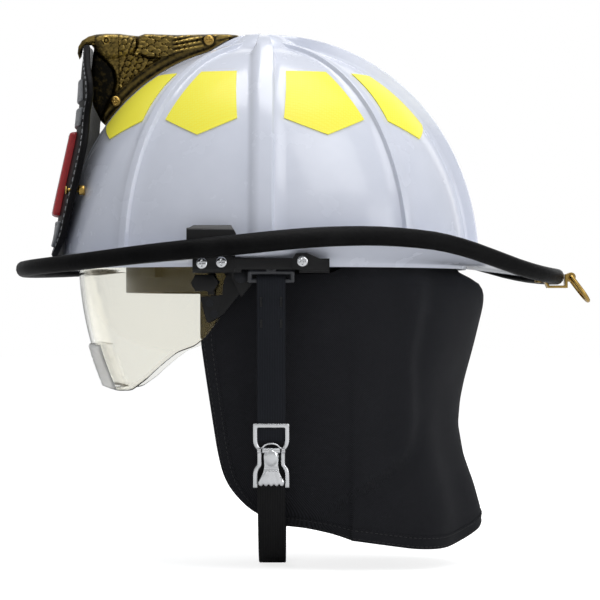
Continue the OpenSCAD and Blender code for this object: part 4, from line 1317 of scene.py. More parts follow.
@dataclass
class FrontPiece:
    """The leather front piece with its welt, seam, banners and raised panel."""

    leather: float = 4.5
    welt: float = 4.2
    panel_thick: float = 4.5
    foot: float = 9
    top: float = 156.5
    seam_inset: float = 2.4
    banners: tuple[tuple[float, float, float, float], ...] = (
        (98.5, 111, 40, 42), (116, 131, 40, 33), (16, 33, 30, 40))
    panel: tuple[float, float, float, float] = (37, 95, 30, 27)
    middle: Table = (
        (8, -147.5), (14, -146), (24, -143.5), (38, -142), (50, -139.5), (70, -135), (95, -129.5),
        (115, -127.5), (140, -126), (150, -124.6), (158, -124.4))
    half: Table = (
        (9, 20), (11.5, 30.5), (14, 36), (24, 46), (38, 52), (60, 55), (84, 55), (98, 50),
        (107, 49), (118, 53), (128, 49), (138, 39), (148, 26), (153, 18.5), (156.5, 12))

    def spot(self, y: float, z: float, off: float) -> Point:
        """Returns a point off in front of the leather's face, at a width and a height."""
        out = Vector((-1, y / 150, 0)).normalized()
        return (flow(z, self.middle, 4) + y * y / 300 + off * out.x, y + off * out.y, z)

    def body(self) -> bpy.types.Object:
        """Builds the leather with its soft edge and pressed groove."""
        rows, cols = 74, 60
        front, back = [], []
        for i in range(rows + 1):
            v = i / rows
            share = 0.5 - 0.5 * math.cos(math.pi * (0.04 + 0.92 * v)) / math.cos(math.pi * 0.04)
            z = mix(self.foot, self.top, share)
            w = flow(z, self.half, 1.6)
            ends = min(z - self.foot, self.top - z)
            near, far = [], []
            for j in range(cols + 1):
                u = math.sin(math.pi * (j / cols - 0.5))
                inner = min(w * (1 - abs(u)), ends)
                edge = domed(inner / 1.9)
                groove = 0.55 * math.exp(-((inner - self.welt - 1.6) / 0.6) ** 2)
                half = self.leather / 2 * (0.3 + 0.7 * edge)
                near.append(self.spot(-w * u, z, half - self.leather / 2 - groove))
                far.append(self.spot(-w * u, z, -half - self.leather / 2))
            front.append(near)
            back.append(far)
        obj = piece("front_leather", *thick(front, back), LEATHER_BLACK, "helmet")
        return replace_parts(obj, "front_piece")

    def outline(self, inset: float, off: float) -> list[Point]:
        """Returns the leather's outline, set in from its edge and off its face."""
        tall, steps = self.top - self.foot - 2 * inset, 260
        heights = [self.foot + inset + i * tall / steps for i in range(steps + 1)]
        right = [self.spot(flow(z, self.half, 1.6) - inset, z, off) for z in heights]
        left = [self.spot(-flow(z, self.half, 1.6) + inset, z, off) for z in reversed(heights)]
        return right + left

    def seam(self) -> bpy.types.Object:
        """Builds the silver stitches round the face."""
        threads = stitches(self.outline(3.0, 0.12), 3.0, 4.6, 0.5)
        return piece("front_seam", *threads, SILVER_THREAD, "helmet")

    def patch(self, z0: float, z1: float, w0: float, w1: float, rise: float, soft: float) -> Form:
        """Makes a leather patch on the face with rounded edges and corners.

        Args:
            z0: Lower edge.
            z1: Upper edge.
            w0: Half width at the lower edge.
            w1: Half width at the upper edge.
            rise: Height of its face over the leather.
            soft: Radius of its edges.

        Returns:
            The points and faces.
        """
        rows, cols = 26, 44
        front, back = [], []
        for i in range(rows + 1):
            v = 0.5 + 0.5 * math.sin(math.pi * (i / rows - 0.5))
            near, far = [], []
            for j in range(cols + 1):
                u = math.sin(math.pi * (j / cols - 0.5))
                w, tall = mix(w0, w1, v), z1 - z0
                corner = 2.4
                inx, inz = w * (1 - abs(u)), tall * min(v, 1 - v)
                pull = 0.0
                if inx < corner and inz < corner:
                    over = math.hypot(corner - inx, corner - inz) - corner
                    pull = max(0.0, over)
                y = -w * u * (1 - pull * 0.72 / w)
                z = mix(z0, z1, v) + (pull * 0.72 if v < 0.5 else -pull * 0.72)
                inner = min(inx, inz)
                edge = domed(inner / soft)
                press = 0.3 * math.exp(-((inner - 2.4) / 0.5) ** 2)
                near.append(self.spot(y, z, 0.3 + (rise - 0.3) * (0.35 + 0.65 * edge) - press))
                far.append(self.spot(y, z, 0.12))
            front.append(near)
            back.append(far)
        return thick(front, back)

    def patch_seam(self, z0: float, z1: float, w0: float, w1: float, off: float) -> Form:
        """Makes the stitches round a patch, a little in from its edge."""
        path: list[Point] = []
        d = self.seam_inset
        corners = [(-w0 + d, z0 + d), (w0 - d, z0 + d), (w1 - d, z1 - d), (-w1 + d, z1 - d)]
        for (ya, za), (yb, zb) in zip(corners, [*corners[1:], corners[0]]):
            count = int(math.hypot(yb - ya, zb - za) / 0.5)
            path += [self.spot(mix(ya, yb, i / count), mix(za, zb, i / count), off)
                     for i in range(count)]
        return stitches(path, 1.9, 3.0, 0.34)

    def build(self) -> None:
        """Builds the leather, its seams, the banners and the raised panel."""
        self.body()
        self.seam()
        banners = piece("leather_banners", *join([self.patch(*b, 1.7, 0.9) for b in self.banners]),
                        BANNER_GREY, "helmet")
        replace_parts(banners, "front_banners")
        panel = piece("red_panel", *self.patch(*self.panel, self.panel_thick + 0.3, 1.6),
                      PANEL_RED, "helmet")
        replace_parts(panel, "number_panel")
        threads = [self.patch_seam(*b, 1.45) for b in self.banners]
        threads.append(self.patch_seam(*self.panel, self.panel_thick + 0.1))
        piece("patch_seams", *join(threads), SILVER_THREAD, "helmet")


# ---- The visor ----


@dataclass
class VisorLens:
    """The clear lens, an arc about an axis behind the head."""

    front: float = 128
    half: float = 97
    power: float = 2.4
    arc_x: float = 115
    arc_z: float = 14
    thick: float = 2.5
    grip_turn: float = 24
    grip_span: Pair = (0.62, 0.985)
    grip_rise: float = 1.6
    grip_seat: Pair = (0.7, 0.25)
    low: Table = (
        (136, -10), (140, -13), (150, -18.9), (163, -21.8), (172, -22.8), (185, -22.6),
        (200, -23.8), (213, -25), (225, -25.6), (235, -24.6), (243, -23.2))

    def spot(self, turn: float, v: float, off: float) -> Point:
        """Finds a point of the lens.

        Args:
            turn: Angle round the lens in degrees, 0 in front.
            v: Place from the upper to the lower edge.
            off: Distance out of the outer face.

        Returns:
            The point.
        """
        t = math.radians(turn)
        c, s = abs(math.cos(t)) ** (2 / self.power), abs(math.sin(t)) ** (2 / self.power)
        x, y = -self.front * c, -self.half * s * (1 if turn >= 0 else -1)
        nx = -(c ** (self.power - 1)) / self.front
        ny = (1 if y >= 0 else -1) * s ** (self.power - 1) / self.half
        size = math.hypot(nx, ny)
        nx, ny = nx / size, ny / size
        r = self.arc_x - x
        top = math.degrees(math.asin((2 - self.arc_z) / r))
        q = math.radians(mix(top, flow(r, self.low, 2), v))
        ro = r - off * nx
        return (self.arc_x - ro * math.cos(q), y + off * ny, self.arc_z + ro * math.sin(q))

    def build(self) -> None:
        """Builds the lens with rounded edges."""
        turns = [-82 + 164 * i / 110 for i in range(111)]
        steps = [0, 0.012, 0.03] + [0.06 + 0.9 * i / 18 for i in range(19)] + [0.98, 0.992, 1]
        front, back = [], []
        for v in steps:
            round_in = 0.7 * (1 - domed(min(v, 1 - v) / 0.02))
            front.append([self.spot(t, v, -round_in) for t in turns])
            back.append([self.spot(t, v, -self.thick + round_in) for t in turns])
        obj = piece("lens", *thick(front, back), LENS_CLEAR, "visor")
        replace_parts(obj, "visor_lens")
        self.grip()

    def grip(self) -> bpy.types.Object:
        """Builds the frosted strip on the front's lower edge, by which the visor is lifted."""
        rows, cols = 24, 60
        seat, sunk = self.grip_seat
        front, back = [], []
        for i in range(rows + 1):
            v, rise = mix(*self.grip_span, i / rows), min(i, rows - i) / rows
            ripple = 0.2 * (0.5 + 0.5 * math.cos(i * math.pi / 2))
            near, far = [], []
            for j in range(cols + 1):
                turn = mix(-self.grip_turn, self.grip_turn, j / cols)
                edge = min(1.0, rise * 18, min(j, cols - j) / cols * 26)
                lift = self.grip_rise * domed(edge) - ripple
                near.append(self.spot(turn, v, seat + max(0.1, lift)))
                far.append(self.spot(turn, v, mix(seat, sunk, smooth((edge - 0.5) / 0.2))))
            front.append(near)
            back.append(far)
        return piece("lens_grip_strip", *thick(front, back), LENS_GRIP, "visor")


# ---- The chin strap ----


@dataclass
class ChinStrap:
    """The webbing with its folds and seams, the buckle's clasp and its fan lever."""

    strap_x: float = 7.5
    stud_z: float = -0.5
    ring_y: float = 117.3
    ring_drop: float = 8.8
    lean: float = 10
    drop: float = 203.3
    width: float = 19
    thick: float = 2
    buckle: float = 95.5
    lever_y: float = 3.4
    lever_z: float = -18.2
    keeper: Table = (
        (8.2, -16.6), (7, -16.9), (5.9, -16.6), (5.1, -15.6), (4, -14.6), (2.2, -13.9), (0, -13.6))

    def hang(self, side: Side, x: float, y: float, z: float) -> Point:
        """Places a point of the hanging frame, whose -Z runs down the strap and -Y points out.

        Args:
            side: The wearer's side.
            x: Along the helmet from the strap's middle.
            y: Inwards from the strap's middle.
            z: Up the strap from the ring's lower bar.

        Returns:
            The point in the shared frame.
        """
        c, s = math.cos(math.radians(self.lean)), math.sin(math.radians(self.lean))
        y1 = self.ring_y - self.ring_drop * math.tan(math.radians(self.lean))
        gy, gz = -y1 + y * c - z * s, self.stud_z - self.ring_drop + y * s + z * c
        return (self.strap_x + x, gy if side is Side.LEFT else -gy, gz)

    def ribbon(self, path: Sequence[Pair], half: float, thick: float) -> Form:
        """Sweeps webbing along a path in the plane across the helmet.

        Args:
            path: The webbing's middle line as pairs of Y and Z.
            half: Half its width.
            thick: Its thickness.

        Returns:
            The points and faces.
        """
        t = thick / 2
        edge = [(0, 0.35 * t), (0.35, 0.92 * t), (1.2, t * 1.03), (2, t * 0.9), (2.8, t)]
        section = [(-half + d, h) for d, h in edge] + [(0, t)]
        section += [(half - d, h) for d, h in reversed(edge)]
        section += [(x, -h) for x, h in reversed(section)]
        points: list[Point] = []
        for i, (y, z) in enumerate(path):
            ya, za = path[max(0, i - 1)]
            yb, zb = path[min(len(path) - 1, i + 1)]
            size = max(1e-6, math.hypot(yb - ya, zb - za))
            ny, nz = -(zb - za) / size, (yb - ya) / size
            points += [(self.strap_x + x, y + ny * h, z + nz * h) for x, h in section]
        count = len(section)
        faces = ring_faces(len(path), count, True)
        faces += [tuple(range(count)), tuple((len(path) - 1) * count + k for k in range(count))]
        return points, faces

    def looped(self, side: Side) -> list[Pair]:
        """Returns the path from the stitched tail round the ring's bar and down to the seam."""
        local = [(2.05, -34 + i * 1.5) for i in range(19)]
        local += [(2.3, -4.6), (2.6, -2.2)]
        local += [polar(2.62, a) for a in range(0, 181, 15)]
        local += [(-2.4, -2.0), (-1.7, -4.2), (-0.8, -6.6), (-0.2, -9), (0, -12)]
        local += [(0, -12 - i * 2.5) for i in range(1, 10)]
        return [self.hang(side, 0, y, z)[1:] for y, z in local]

    def upper(self) -> bpy.types.Object:
        """Builds the webbing from the left ring into the buckle."""
        path = self.looped(Side.LEFT)
        end = -self.buckle - 12
        path += [self.hang(Side.LEFT, 0, 0, z)[1:] for z in
                 [mix(-36, end, i / 26) for i in range(1, 27)]]
        obj = piece("upper_webbing", *self.ribbon(path, self.width / 2, self.thick), WEBBING_DARK,
                    "chin_strap")
        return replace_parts(obj, "chin_strap_upper")

    def lower(self) -> bpy.types.Object:
        """Builds the webbing from the buckle under the chin to the right ring."""
        lean = math.radians(self.lean)
        y1 = self.ring_y - self.ring_drop * math.tan(lean)
        z1 = self.stud_z - self.ring_drop
        r = (y1 * math.cos(lean) - (self.drop + z1) * math.sin(lean)) / (1 - math.sin(lean))
        cz = r - self.drop
        path = []
        for i in range(4):
            up = 5 * (1 - i / 4)
            path.append((-r * math.cos(lean) - up * math.sin(lean),
                         cz - r * math.sin(lean) + up * math.cos(lean)))
        for i in range(81):
            a = math.radians(mix(180 + self.lean, 360 - self.lean, i / 80))
            path.append((r * math.cos(a), cz + r * math.sin(a)))
        right = list(reversed(self.looped(Side.RIGHT)))
        start, end = path[-1], right[0]
        path += [tuple(mix(a, b, i / 24) for a, b in zip(start, end)) for i in range(1, 24)]
        path += right
        web = self.ribbon(path, self.width / 2 - 0.2, self.thick)
        obj = piece("lower_webbing", *web, WEBBING_BLACK, "chin_strap")
        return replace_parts(obj, "chin_strap_lower")

    def seams(self) -> bpy.types.Object:
        """Builds the bar tacks that close the folds."""
        tacks = ((-6.6, -17, -11), (6.6, -17, -11), (-6.6, -31, -26), (6.6, -31, -26))
        parts = []
        for side in Side:
            for y in (-1.12, 3.14):
                for x, low, high in tacks:
                    for z in (mix(low, high, i / 9) for i in range(10)):
                        ends = [self.hang(side, x + d, y, z) for d in (-0.8, 0.8)]
                        parts.append(tube(ends, 0.26, 6))
        return piece("strap_seams", *join(parts), THREAD_BLACK, "chin_strap")

    def lever(self) -> bpy.types.Object:
        """Builds the lever: a barrel on the pin, a domed head and a fluted, scalloped fan."""
        rim = [(4.9 * math.cos(math.radians(a)), self.lever_z - 4 + 5.4 * math.sin(math.radians(a)))
               for a in range(0, 181, 12)]
        rim += [(-4.7, -25), (-4.5, -28), (-4.9, -31), (-5.8, -34), (-7.2, -37), (-8.7, -39.6)]
        for k in range(5):
            rim += [(-8.7 + 3.48 * (k + t), -40.1 - 2.1 * math.sqrt(math.sin(math.pi * t)))
                    for t in (0.06, 0.2, 0.4, 0.6, 0.8, 0.94)]
        rim += [(8.7, -39.6), (7.2, -37), (5.8, -34), (4.9, -31), (4.5, -28), (4.7, -25)]

        def height(x: float, z: float) -> tuple[float, float, float]:
            """Returns the outer and inner heights of the lever's plate."""
            edge = edge_distance(x, z, rim, True)
            ball = max(0.0, 1 - (x / 4.2) ** 2 - ((z - self.lever_z + 4.6) / 5.6) ** 2)
            fan = smooth((-29.5 - z) / 3)
            width = mix(4.4, 8.7, smooth((-29 - z) / 11))
            flute = 0.55 * abs(math.cos(math.pi * (x / width * 2.5 + 0.5))) * fan
            waist = 0.5 * math.exp(-((z + 30.4) / 1.1) ** 2)
            top = 1.15 + 1.6 * math.sqrt(ball) + flute - waist
            top *= 0.55 + 0.45 * domed(edge / 1.1)
            return self.lever_y + 0.2 + top, self.lever_y + 0.2, 0.0

        def at(x: float, z: float, out: float) -> Point:
            """Places a point of the plate in the shared frame."""
            return self.hang(Side.LEFT, x, -out, z - self.buckle)

        points, faces, _ = Casting(rim, 0.55).build(height, at)
        half = 5.85
        barrel = tube([self.hang(Side.LEFT, x, -self.lever_y, self.lever_z - self.buckle)
                       for x in (-half, -half + 0.3, 0, half - 0.3, half)], 1.9, 24)
        obj = piece("fan_lever", *join([(points, faces), barrel]), CHROME, "lever")
        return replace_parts(obj, "buckle_lever")

    def clasp(self) -> bpy.types.Object:
        """Builds the buckle's frame: a round-shouldered bar, the pin's ears and the keeper."""
        w, bar, base = 12.15, 3.1, 1.3
        half = [(w, 0, 0.9), (w, -14.5, 4), (w - 2.9, -18.5, 1.4), (w - 2.9, -28, 1.4),
                (w, -32, 4), (w, -44, 0.6), (w - bar, -44, 0.6), (w - bar, -32.6, 3.6),
                (w - bar - 2.9, -28.5, 1.2), (w - bar - 2.9, -18, 1.2), (w - bar, -14.2, 3.6),
                (w - bar, -3.3, 0.8)]
        rim = rounded(half + [(-x, z, cut) for x, z, cut in reversed(half)])

        def height(x: float, z: float) -> tuple[float, float, float]:
            """Returns the outer and inner heights of the bar."""
            edge = domed(edge_distance(x, z, rim, True) / 1.35)
            return base + 1.6 * (0.35 + 0.65 * edge), base, 0.0

        def at(x: float, z: float, out: float) -> Point:
            """Places a point of the bar in the shared frame."""
            return self.hang(Side.LEFT, x, -out, z - self.buckle)

        points, faces, _ = Casting(rim, 0.5).build(height, at)
        parts = [(points, faces)]
        for sign in (-1, 1):
            ear = [at(sign * x, self.lever_z, self.lever_y) for x in (6.9, 7.0, 8.05, 9.1, 9.2)]
            parts.append(tube(ear, 1.85, 24))
        wire = list(self.keeper)
        wire += [(-x, z) for x, z in reversed(wire[:-1])]
        parts.append(tube([at(x, z, 2.55) for x, z in wire], 0.6, 12))
        obj = piece("buckle_clasp", *join(parts), CHROME, "chin_strap")
        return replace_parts(obj, "buckle_frame")

    def build(self) -> None:
        """Builds the webbing, its seams, the clasp and the lever."""
        self.upper()
        self.lower()
        self.seams()
        self.clasp()
        self.lever()


# ---- The neck cover ----


@dataclass
class NeckCover:
    """The black cloth that hangs from the rim round the back and the sides."""

    cloth: float = 2.6
    side_x: float = 62
    flat: Pair = (0.56, 0.19)
    rear_x: Table = (
        (-195, 147), (-185, 149), (-167, 150.6), (-148, 145.9), (-128, 139.2), (-107, 135.9),
        (-90, 137.6), (-76, 140.6), (-52, 147.3), (-24, 154.4), (-16, 155), (-9, 152), (-5.5, 146),
        (-3, 139), (0, 135), (7, 133))
    side_y: Table = (
        (-195, 70), (-175, 74), (-145, 81), (-110, 88), (-70, 94), (-30, 97.5), (-6, 98), (0, 95),
        (7, 94))
    turn_in: Table = ((-30, 0.95), (-6, 1.2))
    edge_x: Table = (
        (-176, 20), (-174.5, 14), (-166.3, -4.5), (-150.9, -19.5), (-139.3, -25.4), (-123.6, -29),
        (-110, -31), (-70, -37), (-48.5, -40), (7, -40))
    hem: Table = (
        (0, -172), (0.08, -178.5), (0.18, -187), (0.3, -190.6), (0.4, -190.6), (0.53, -186.4),
        (0.62, -183), (0.72, -179.4), (0.86, -175.8), (1, -174.6))
    edge_y: Table = (
        (-177, 54.5), (-165, 60.5), (-150, 67), (-138, 72), (-105, 79), (-50, 85), (-5, 87),
        (7, 87))
    crease: Table = (
        (-174.6, 36), (-167, 42.7), (-153, 61.8), (-142.4, 80.9), (-126, 100.3), (-104.2, 104.8),
        (-59.3, 103), (-33.9, 108.3), (-11.8, 111.7))

    def level(self, s: float, v: float) -> float:
        """Returns the height at a place round the cloth and down it."""
        top = mix(6, -4.5, smooth((s - 0.56) / 0.12))
        return mix(top, flow(s, self.hem, 0.04), v)

    def middle(self, s: float, v: float) -> Point:
        """Returns a point of the outer face for the side s from 0 at the back to 1 at the front."""
        z = self.level(s, v)
        q = math.radians(min(1.0, s / 0.6) * 90)
        power = look(z, self.turn_in)
        wave = 2.2 * v * math.sin(math.radians(s * 1300)) * (1 - smooth((s - 0.5) / 0.2))
        wave += 1.1 * v * v * math.sin(9.5 * s + 2.2) + 0.5 * v * math.sin(31 * s + 6 * v)
        wide, deep = flow(z, self.side_y, 5), flow(z, self.rear_x, 3)
        if s <= 0.6:
            c, k = max(0.0, math.cos(q)) ** power, max(0.0, math.sin(q)) ** power
            x, y = self.side_x + (deep - self.side_x + wave) * c, (wide + wave) * k
        else:
            m = (s - 0.6) / 0.4
            x = mix(self.side_x, flow(z, self.edge_x, 6), m)
            sway = 0.9 * v * math.sin(7 * m + 5 * v) * smooth(m / 0.2)
            y = mix(wide, flow(z, self.edge_y, 6), smooth(m)) + sway
        away = x - flow(z, self.crease, 8)
        hold = smooth(v / 0.08) * smooth((y - 34) / 24) * mix(1, 0.2, smooth((v - 0.8) / 0.16))
        lift = -3.5 * math.tanh(away / 2.6) * math.exp(-(away / 17) ** 2) * hold
        return (x, y + lift, z)

    def spot(self, s: float, v: float, off: float) -> Point:
        """Returns a point off the outer face, with s from -1 on the left to 1 on the right."""
        w, e = abs(s), 0.006
        a = Vector(self.middle(min(1.0, w + e), v)) - Vector(self.middle(max(0.0, w - e), v))
        b = Vector(self.middle(w, min(1.0, v + e))) - Vector(self.middle(w, max(0.0, v - e)))
        x, y, z = Vector(self.middle(w, v)) + off * b.cross(a).normalized()
        return (x, 0.0 if w == 0 else y * (1 if s > 0 else -1), z)

    def strip(self, s0: float, s1: float, v0: float, v1: float, rows: int, cols: int,
              low: float, high: float) -> Form:
        """Makes a strip of cloth over part of the cover.

        Args:
            s0: First place round the cloth.
            s1: Last place round it.
            v0: First place down the cloth.
            v1: Last place down it.
            rows: Rows of faces.
            cols: Columns of faces.
            low: Depth of its inner face, below the outer face.
            high: Height of its outer face.

        Returns:
            The points and faces.
        """
        front, back = (
            [[self.spot(mix(s0, s1, j / cols), mix(v0, v1, i / rows), off)
              for j in range(cols + 1)] for i in range(rows + 1)] for off in (high, low))
        return thick(front, back)

    def build(self) -> None:
        """Builds the cloth, its bound hem and its seams."""
        sheet = self.strip(-1, 1, 0, 1, 46, 240, -self.cloth, 0)
        cloth = piece("neck_cloth", *sheet, CLOTH_BLACK, "helmet")
        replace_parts(cloth, "neck_cover")
        hem = [self.strip(*place) for place in (
            (-1, 1, 0.955, 1, 3, 180, -0.3, 0.55), (-1, 1, 0.955, 1, 3, 180, -2.9, -2.4),
            (-1, -0.965, 0.04, 1, 46, 3, -0.3, 0.6), (0.965, 1, 0.04, 1, 46, 3, -0.3, 0.6))]
        binding = piece("cloth_binding", *join(hem), CLOTH_BLACK, "helmet")
        rows = [[self.spot(-1 + 2 * i / 900, 0.962, 0.62) for i in range(901)],
                [self.spot(-1 + 2 * i / 900, 0.992, 0.62) for i in range(901)]]
        rows += [[self.spot(s, 0.06 + 0.9 * i / 420, 0.66) for i in range(421)]
                 for s in (-0.972, -0.992, 0.972, 0.992)]
        threads = join([stitches(r, 2.2, 3.2, 0.28) for r in rows])
        seams = piece("cloth_seams", *threads, THREAD_BLACK, "helmet")


# ---- The inside ----


@dataclass
class Inside:
    """The foam liner, the crown straps and the brow pad."""

    front: float = 106
    rear: float = 120
    side: float = 88
    height: float = 134
    thick: float = 10
    power: float = 2.1
    base: float = 3.8
    strap: float = 19
    band: float = 80
    band_front: float = -15
    pad_thick: float = 3
    band_low: float = -16
    band_high: float = 8

    def cap(self, turn: float, lift: float, off: float) -> Point:
        """Returns a point of the foam cap at a plan angle and a height angle."""
        t, p = math.radians(turn), math.radians(lift)
        front, side = (self.front if math.cos(t) < 0 else self.rear) + off, self.side + off
        r = ((abs(math.cos(t)) / front) ** self.power + (abs(math.sin(t)) / side) ** self.power)
        r = r ** (-1 / self.power) * math.cos(p) ** (2 / self.power)
        z = (self.height + off) * math.sin(p) ** (2 / self.power)
        return (r * math.cos(t), r * math.sin(t), z)

    def liner(self) -> bpy.types.Object:
        """Builds the foam cap with channels cut into its inside."""
        turns = [a * 2.5 for a in range(144)]
        low = self.cap(0, self.base, 0)[2]
        lifts = [7, 11, 16, 22, 28, 34, 40, 46, 52, 58, 64, 70, 76, 81, 85]

        def channel(turn: float, lift: float) -> float:
            """Returns the depth of the channels at a place on the inside."""
            depth = 1.6 * smooth(1 - abs((turn % 45) - 22.5) / 5)
            return depth * smooth((lift - 9) / 6) * smooth((72 - lift) / 8)

        rings = [[self.cap(a, lift, -self.thick + channel(a, lift)) for a in turns]
                 for lift in reversed(lifts)]
        for off in (-self.thick, -self.thick + 1.2, -1.2, 0.0):
            drop = 0.0 if off in (-self.thick + 1.2, -1.2) else 0.9
            rings.append([(*self.cap(a, self.base, off)[:2], low + drop) for a in turns])
        rings += [[self.cap(a, lift, 0) for a in turns] for lift in lifts]
        foam = capped(rings, (0, 0, self.height - self.thick), (0, 0, self.height))
        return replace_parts(piece("foam_liner", *foam, FOAM_DARK, "helmet"), "impact_liner")

    def crown_strap(self, turn: float) -> Form:
        """Makes one webbing strap under the foam, across the crown at a plan angle."""

        def at(t: float, v: float, off: float) -> Point:
            """Places a point of the strap."""
            side, sign = (turn, 1) if t < 0 else (turn + 180, -1)
            end = self.front if math.cos(math.radians(side)) < 0 else self.rear
            b = math.atan2(math.sin(math.radians(side)) / self.side ** 2,
                           math.cos(math.radians(side)) / end ** 2)
            x, y, z = self.cap(side, 90 - abs(t), -self.thick - off)
            return (x - sign * math.sin(b) * v * self.strap / 2,
                    y + sign * math.cos(b) * v * self.strap / 2, z)

        path = [-84 + 79 * i / 22 for i in range(23)] + [5 + 79 * i / 22 for i in range(23)]
        widths = [-1, -0.96, -0.85, -0.8, -0.5, 0, 0.5, 0.8, 0.85, 0.96, 1]
        inset = [0.5, 0.1, 0, 0.12, 0, 0, 0, 0.12, 0, 0.1, 0.5]
        front = [[at(t, v, 1.2 + e) for t in path] for v, e in zip(widths, inset)]
        back = [[at(t, v, 2.6 - e) for t in path] for v, e in zip(widths, inset)]
        return thick(front, back)

    def brow_pad(self) -> bpy.types.Object:
        """Builds the leather brow pad, crowned between its sewn channels."""
        outer = self.band - 2 - 0.3
        rows, cols = 20, 108
        front, back = [], []
        for i in range(rows + 1):
            v = 0.5 + 0.5 * math.sin(math.pi * (i / rows - 0.5))
            near, far = [], []
            for j in range(cols + 1):
                a = math.radians(mix(138, 222, j / cols))
                ends = min(v, 1 - v) * (self.band_high - self.band_low)
                ends = min(ends, min(j, cols - j) / cols * 84 * math.pi / 180 * outer)
                crown = domed(ends / 3.5)
                channel = abs(((j / cols * 7) % 1) - 0.5) * 2
                sewn = 1 - 0.42 * math.exp(-((1 - channel) / 0.12) ** 2) * smooth(ends / 4)
                t = self.pad_thick * (0.3 + 0.7 * crown) * sewn
                z = mix(self.band_low, self.band_high, v)
                for row, r in ((near, outer - t), (far, outer)):
                    row.append((self.band_front + r * math.cos(a), r * math.sin(a), z))
            front.append(near)
            back.append(far)
        obj = piece("leather_brow_pad", *thick(front, back), LEATHER_BROWN, "helmet")
        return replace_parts(obj, "brow_pad")

    def build(self) -> None:
        """Builds the liner, the straps and the pad."""
        self.liner()
        straps = piece("crown_webbing", *join([self.crown_strap(62), self.crown_strap(118)]),
                       WEBBING_BLACK, "helmet")
        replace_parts(straps, "crown_straps")
        self.brow_pad()


# ---- The hanging ring ----


@dataclass
class HangingRing:
    """The brass ring under the rear brim."""

    eye: Pair = (215.8, -5)
    half: float = 10.5
    leg: float = 10
    wire: float = 1.5
    lean: float = 53

    def build(self) -> None:
        """Builds the ring as one smooth closed wire."""
        h, leg = self.half, self.leg
        flat = [(0.0, -h + 0.6), (0.0, h - 0.6), (0.18, h - 0.18), (0.6, h), (leg, h)]
        flat += [(leg + h * math.sin(math.radians(a)), h * math.cos(math.radians(a)))
                 for a in range(6, 180, 6)]
        flat += [(leg, -h), (0.6, -h), (0.18, -h + 0.18)]
        c, s = math.cos(math.radians(self.lean)), math.sin(math.radians(self.lean))
        path = [(self.eye[0] + d * c, y, self.eye[1] - d * s) for d, y in flat]
        obj = piece("ring_wire", *tube(path, self.wire, 20, closed=True), BRASS, "ring")
        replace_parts(obj, "hanging_ring")


# ---- The hardware ----


@dataclass
class Hardware:
    """The moulded and cast fittings, with broken edges, and the brackets' screws."""

    hard: tuple[tuple[str, float], ...] = (
        ("strap_bracket_left", 0.5), ("strap_bracket_right", 0.5), ("bracket_cap_left", 0.5),
        ("bracket_cap_right", 0.5), ("visor_arm_left", 0.35), ("visor_arm_right", 0.35),
        ("visor_latch_left", 0.35), ("visor_latch_right", 0.35), ("strap_ring_left", 0.2),
        ("strap_ring_right", 0.2), ("ring_clip", 0.2), ("headband", 0.4),
        ("ratchet_housing", 0.6), ("ratchet_cover", 0.6), ("ratchet_knob", 0.5),
        ("front_piece_screws", 0.6), ("visor_pivot_pins", 0.3), ("suspension_clips", 0.3))
    screws: tuple[tuple[float, float, float], ...] = (
        (-37.8, 2, 123), (-25, 2.7, 123), (28.2, 3.3, 126))

    def build(self) -> None:
        """Builds the fittings."""
        for node, edge in self.hard:
            softened(node, edge)
        heads = [screw_head(x, z, side.value * (y + 0.3), 3.6, 1.9)
                 for x, z, y in self.screws for side in Side]
        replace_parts(piece("bracket_screw_heads", *join(heads), CHROME, "helmet"), "bracket_screws")


# ---- The studio ----


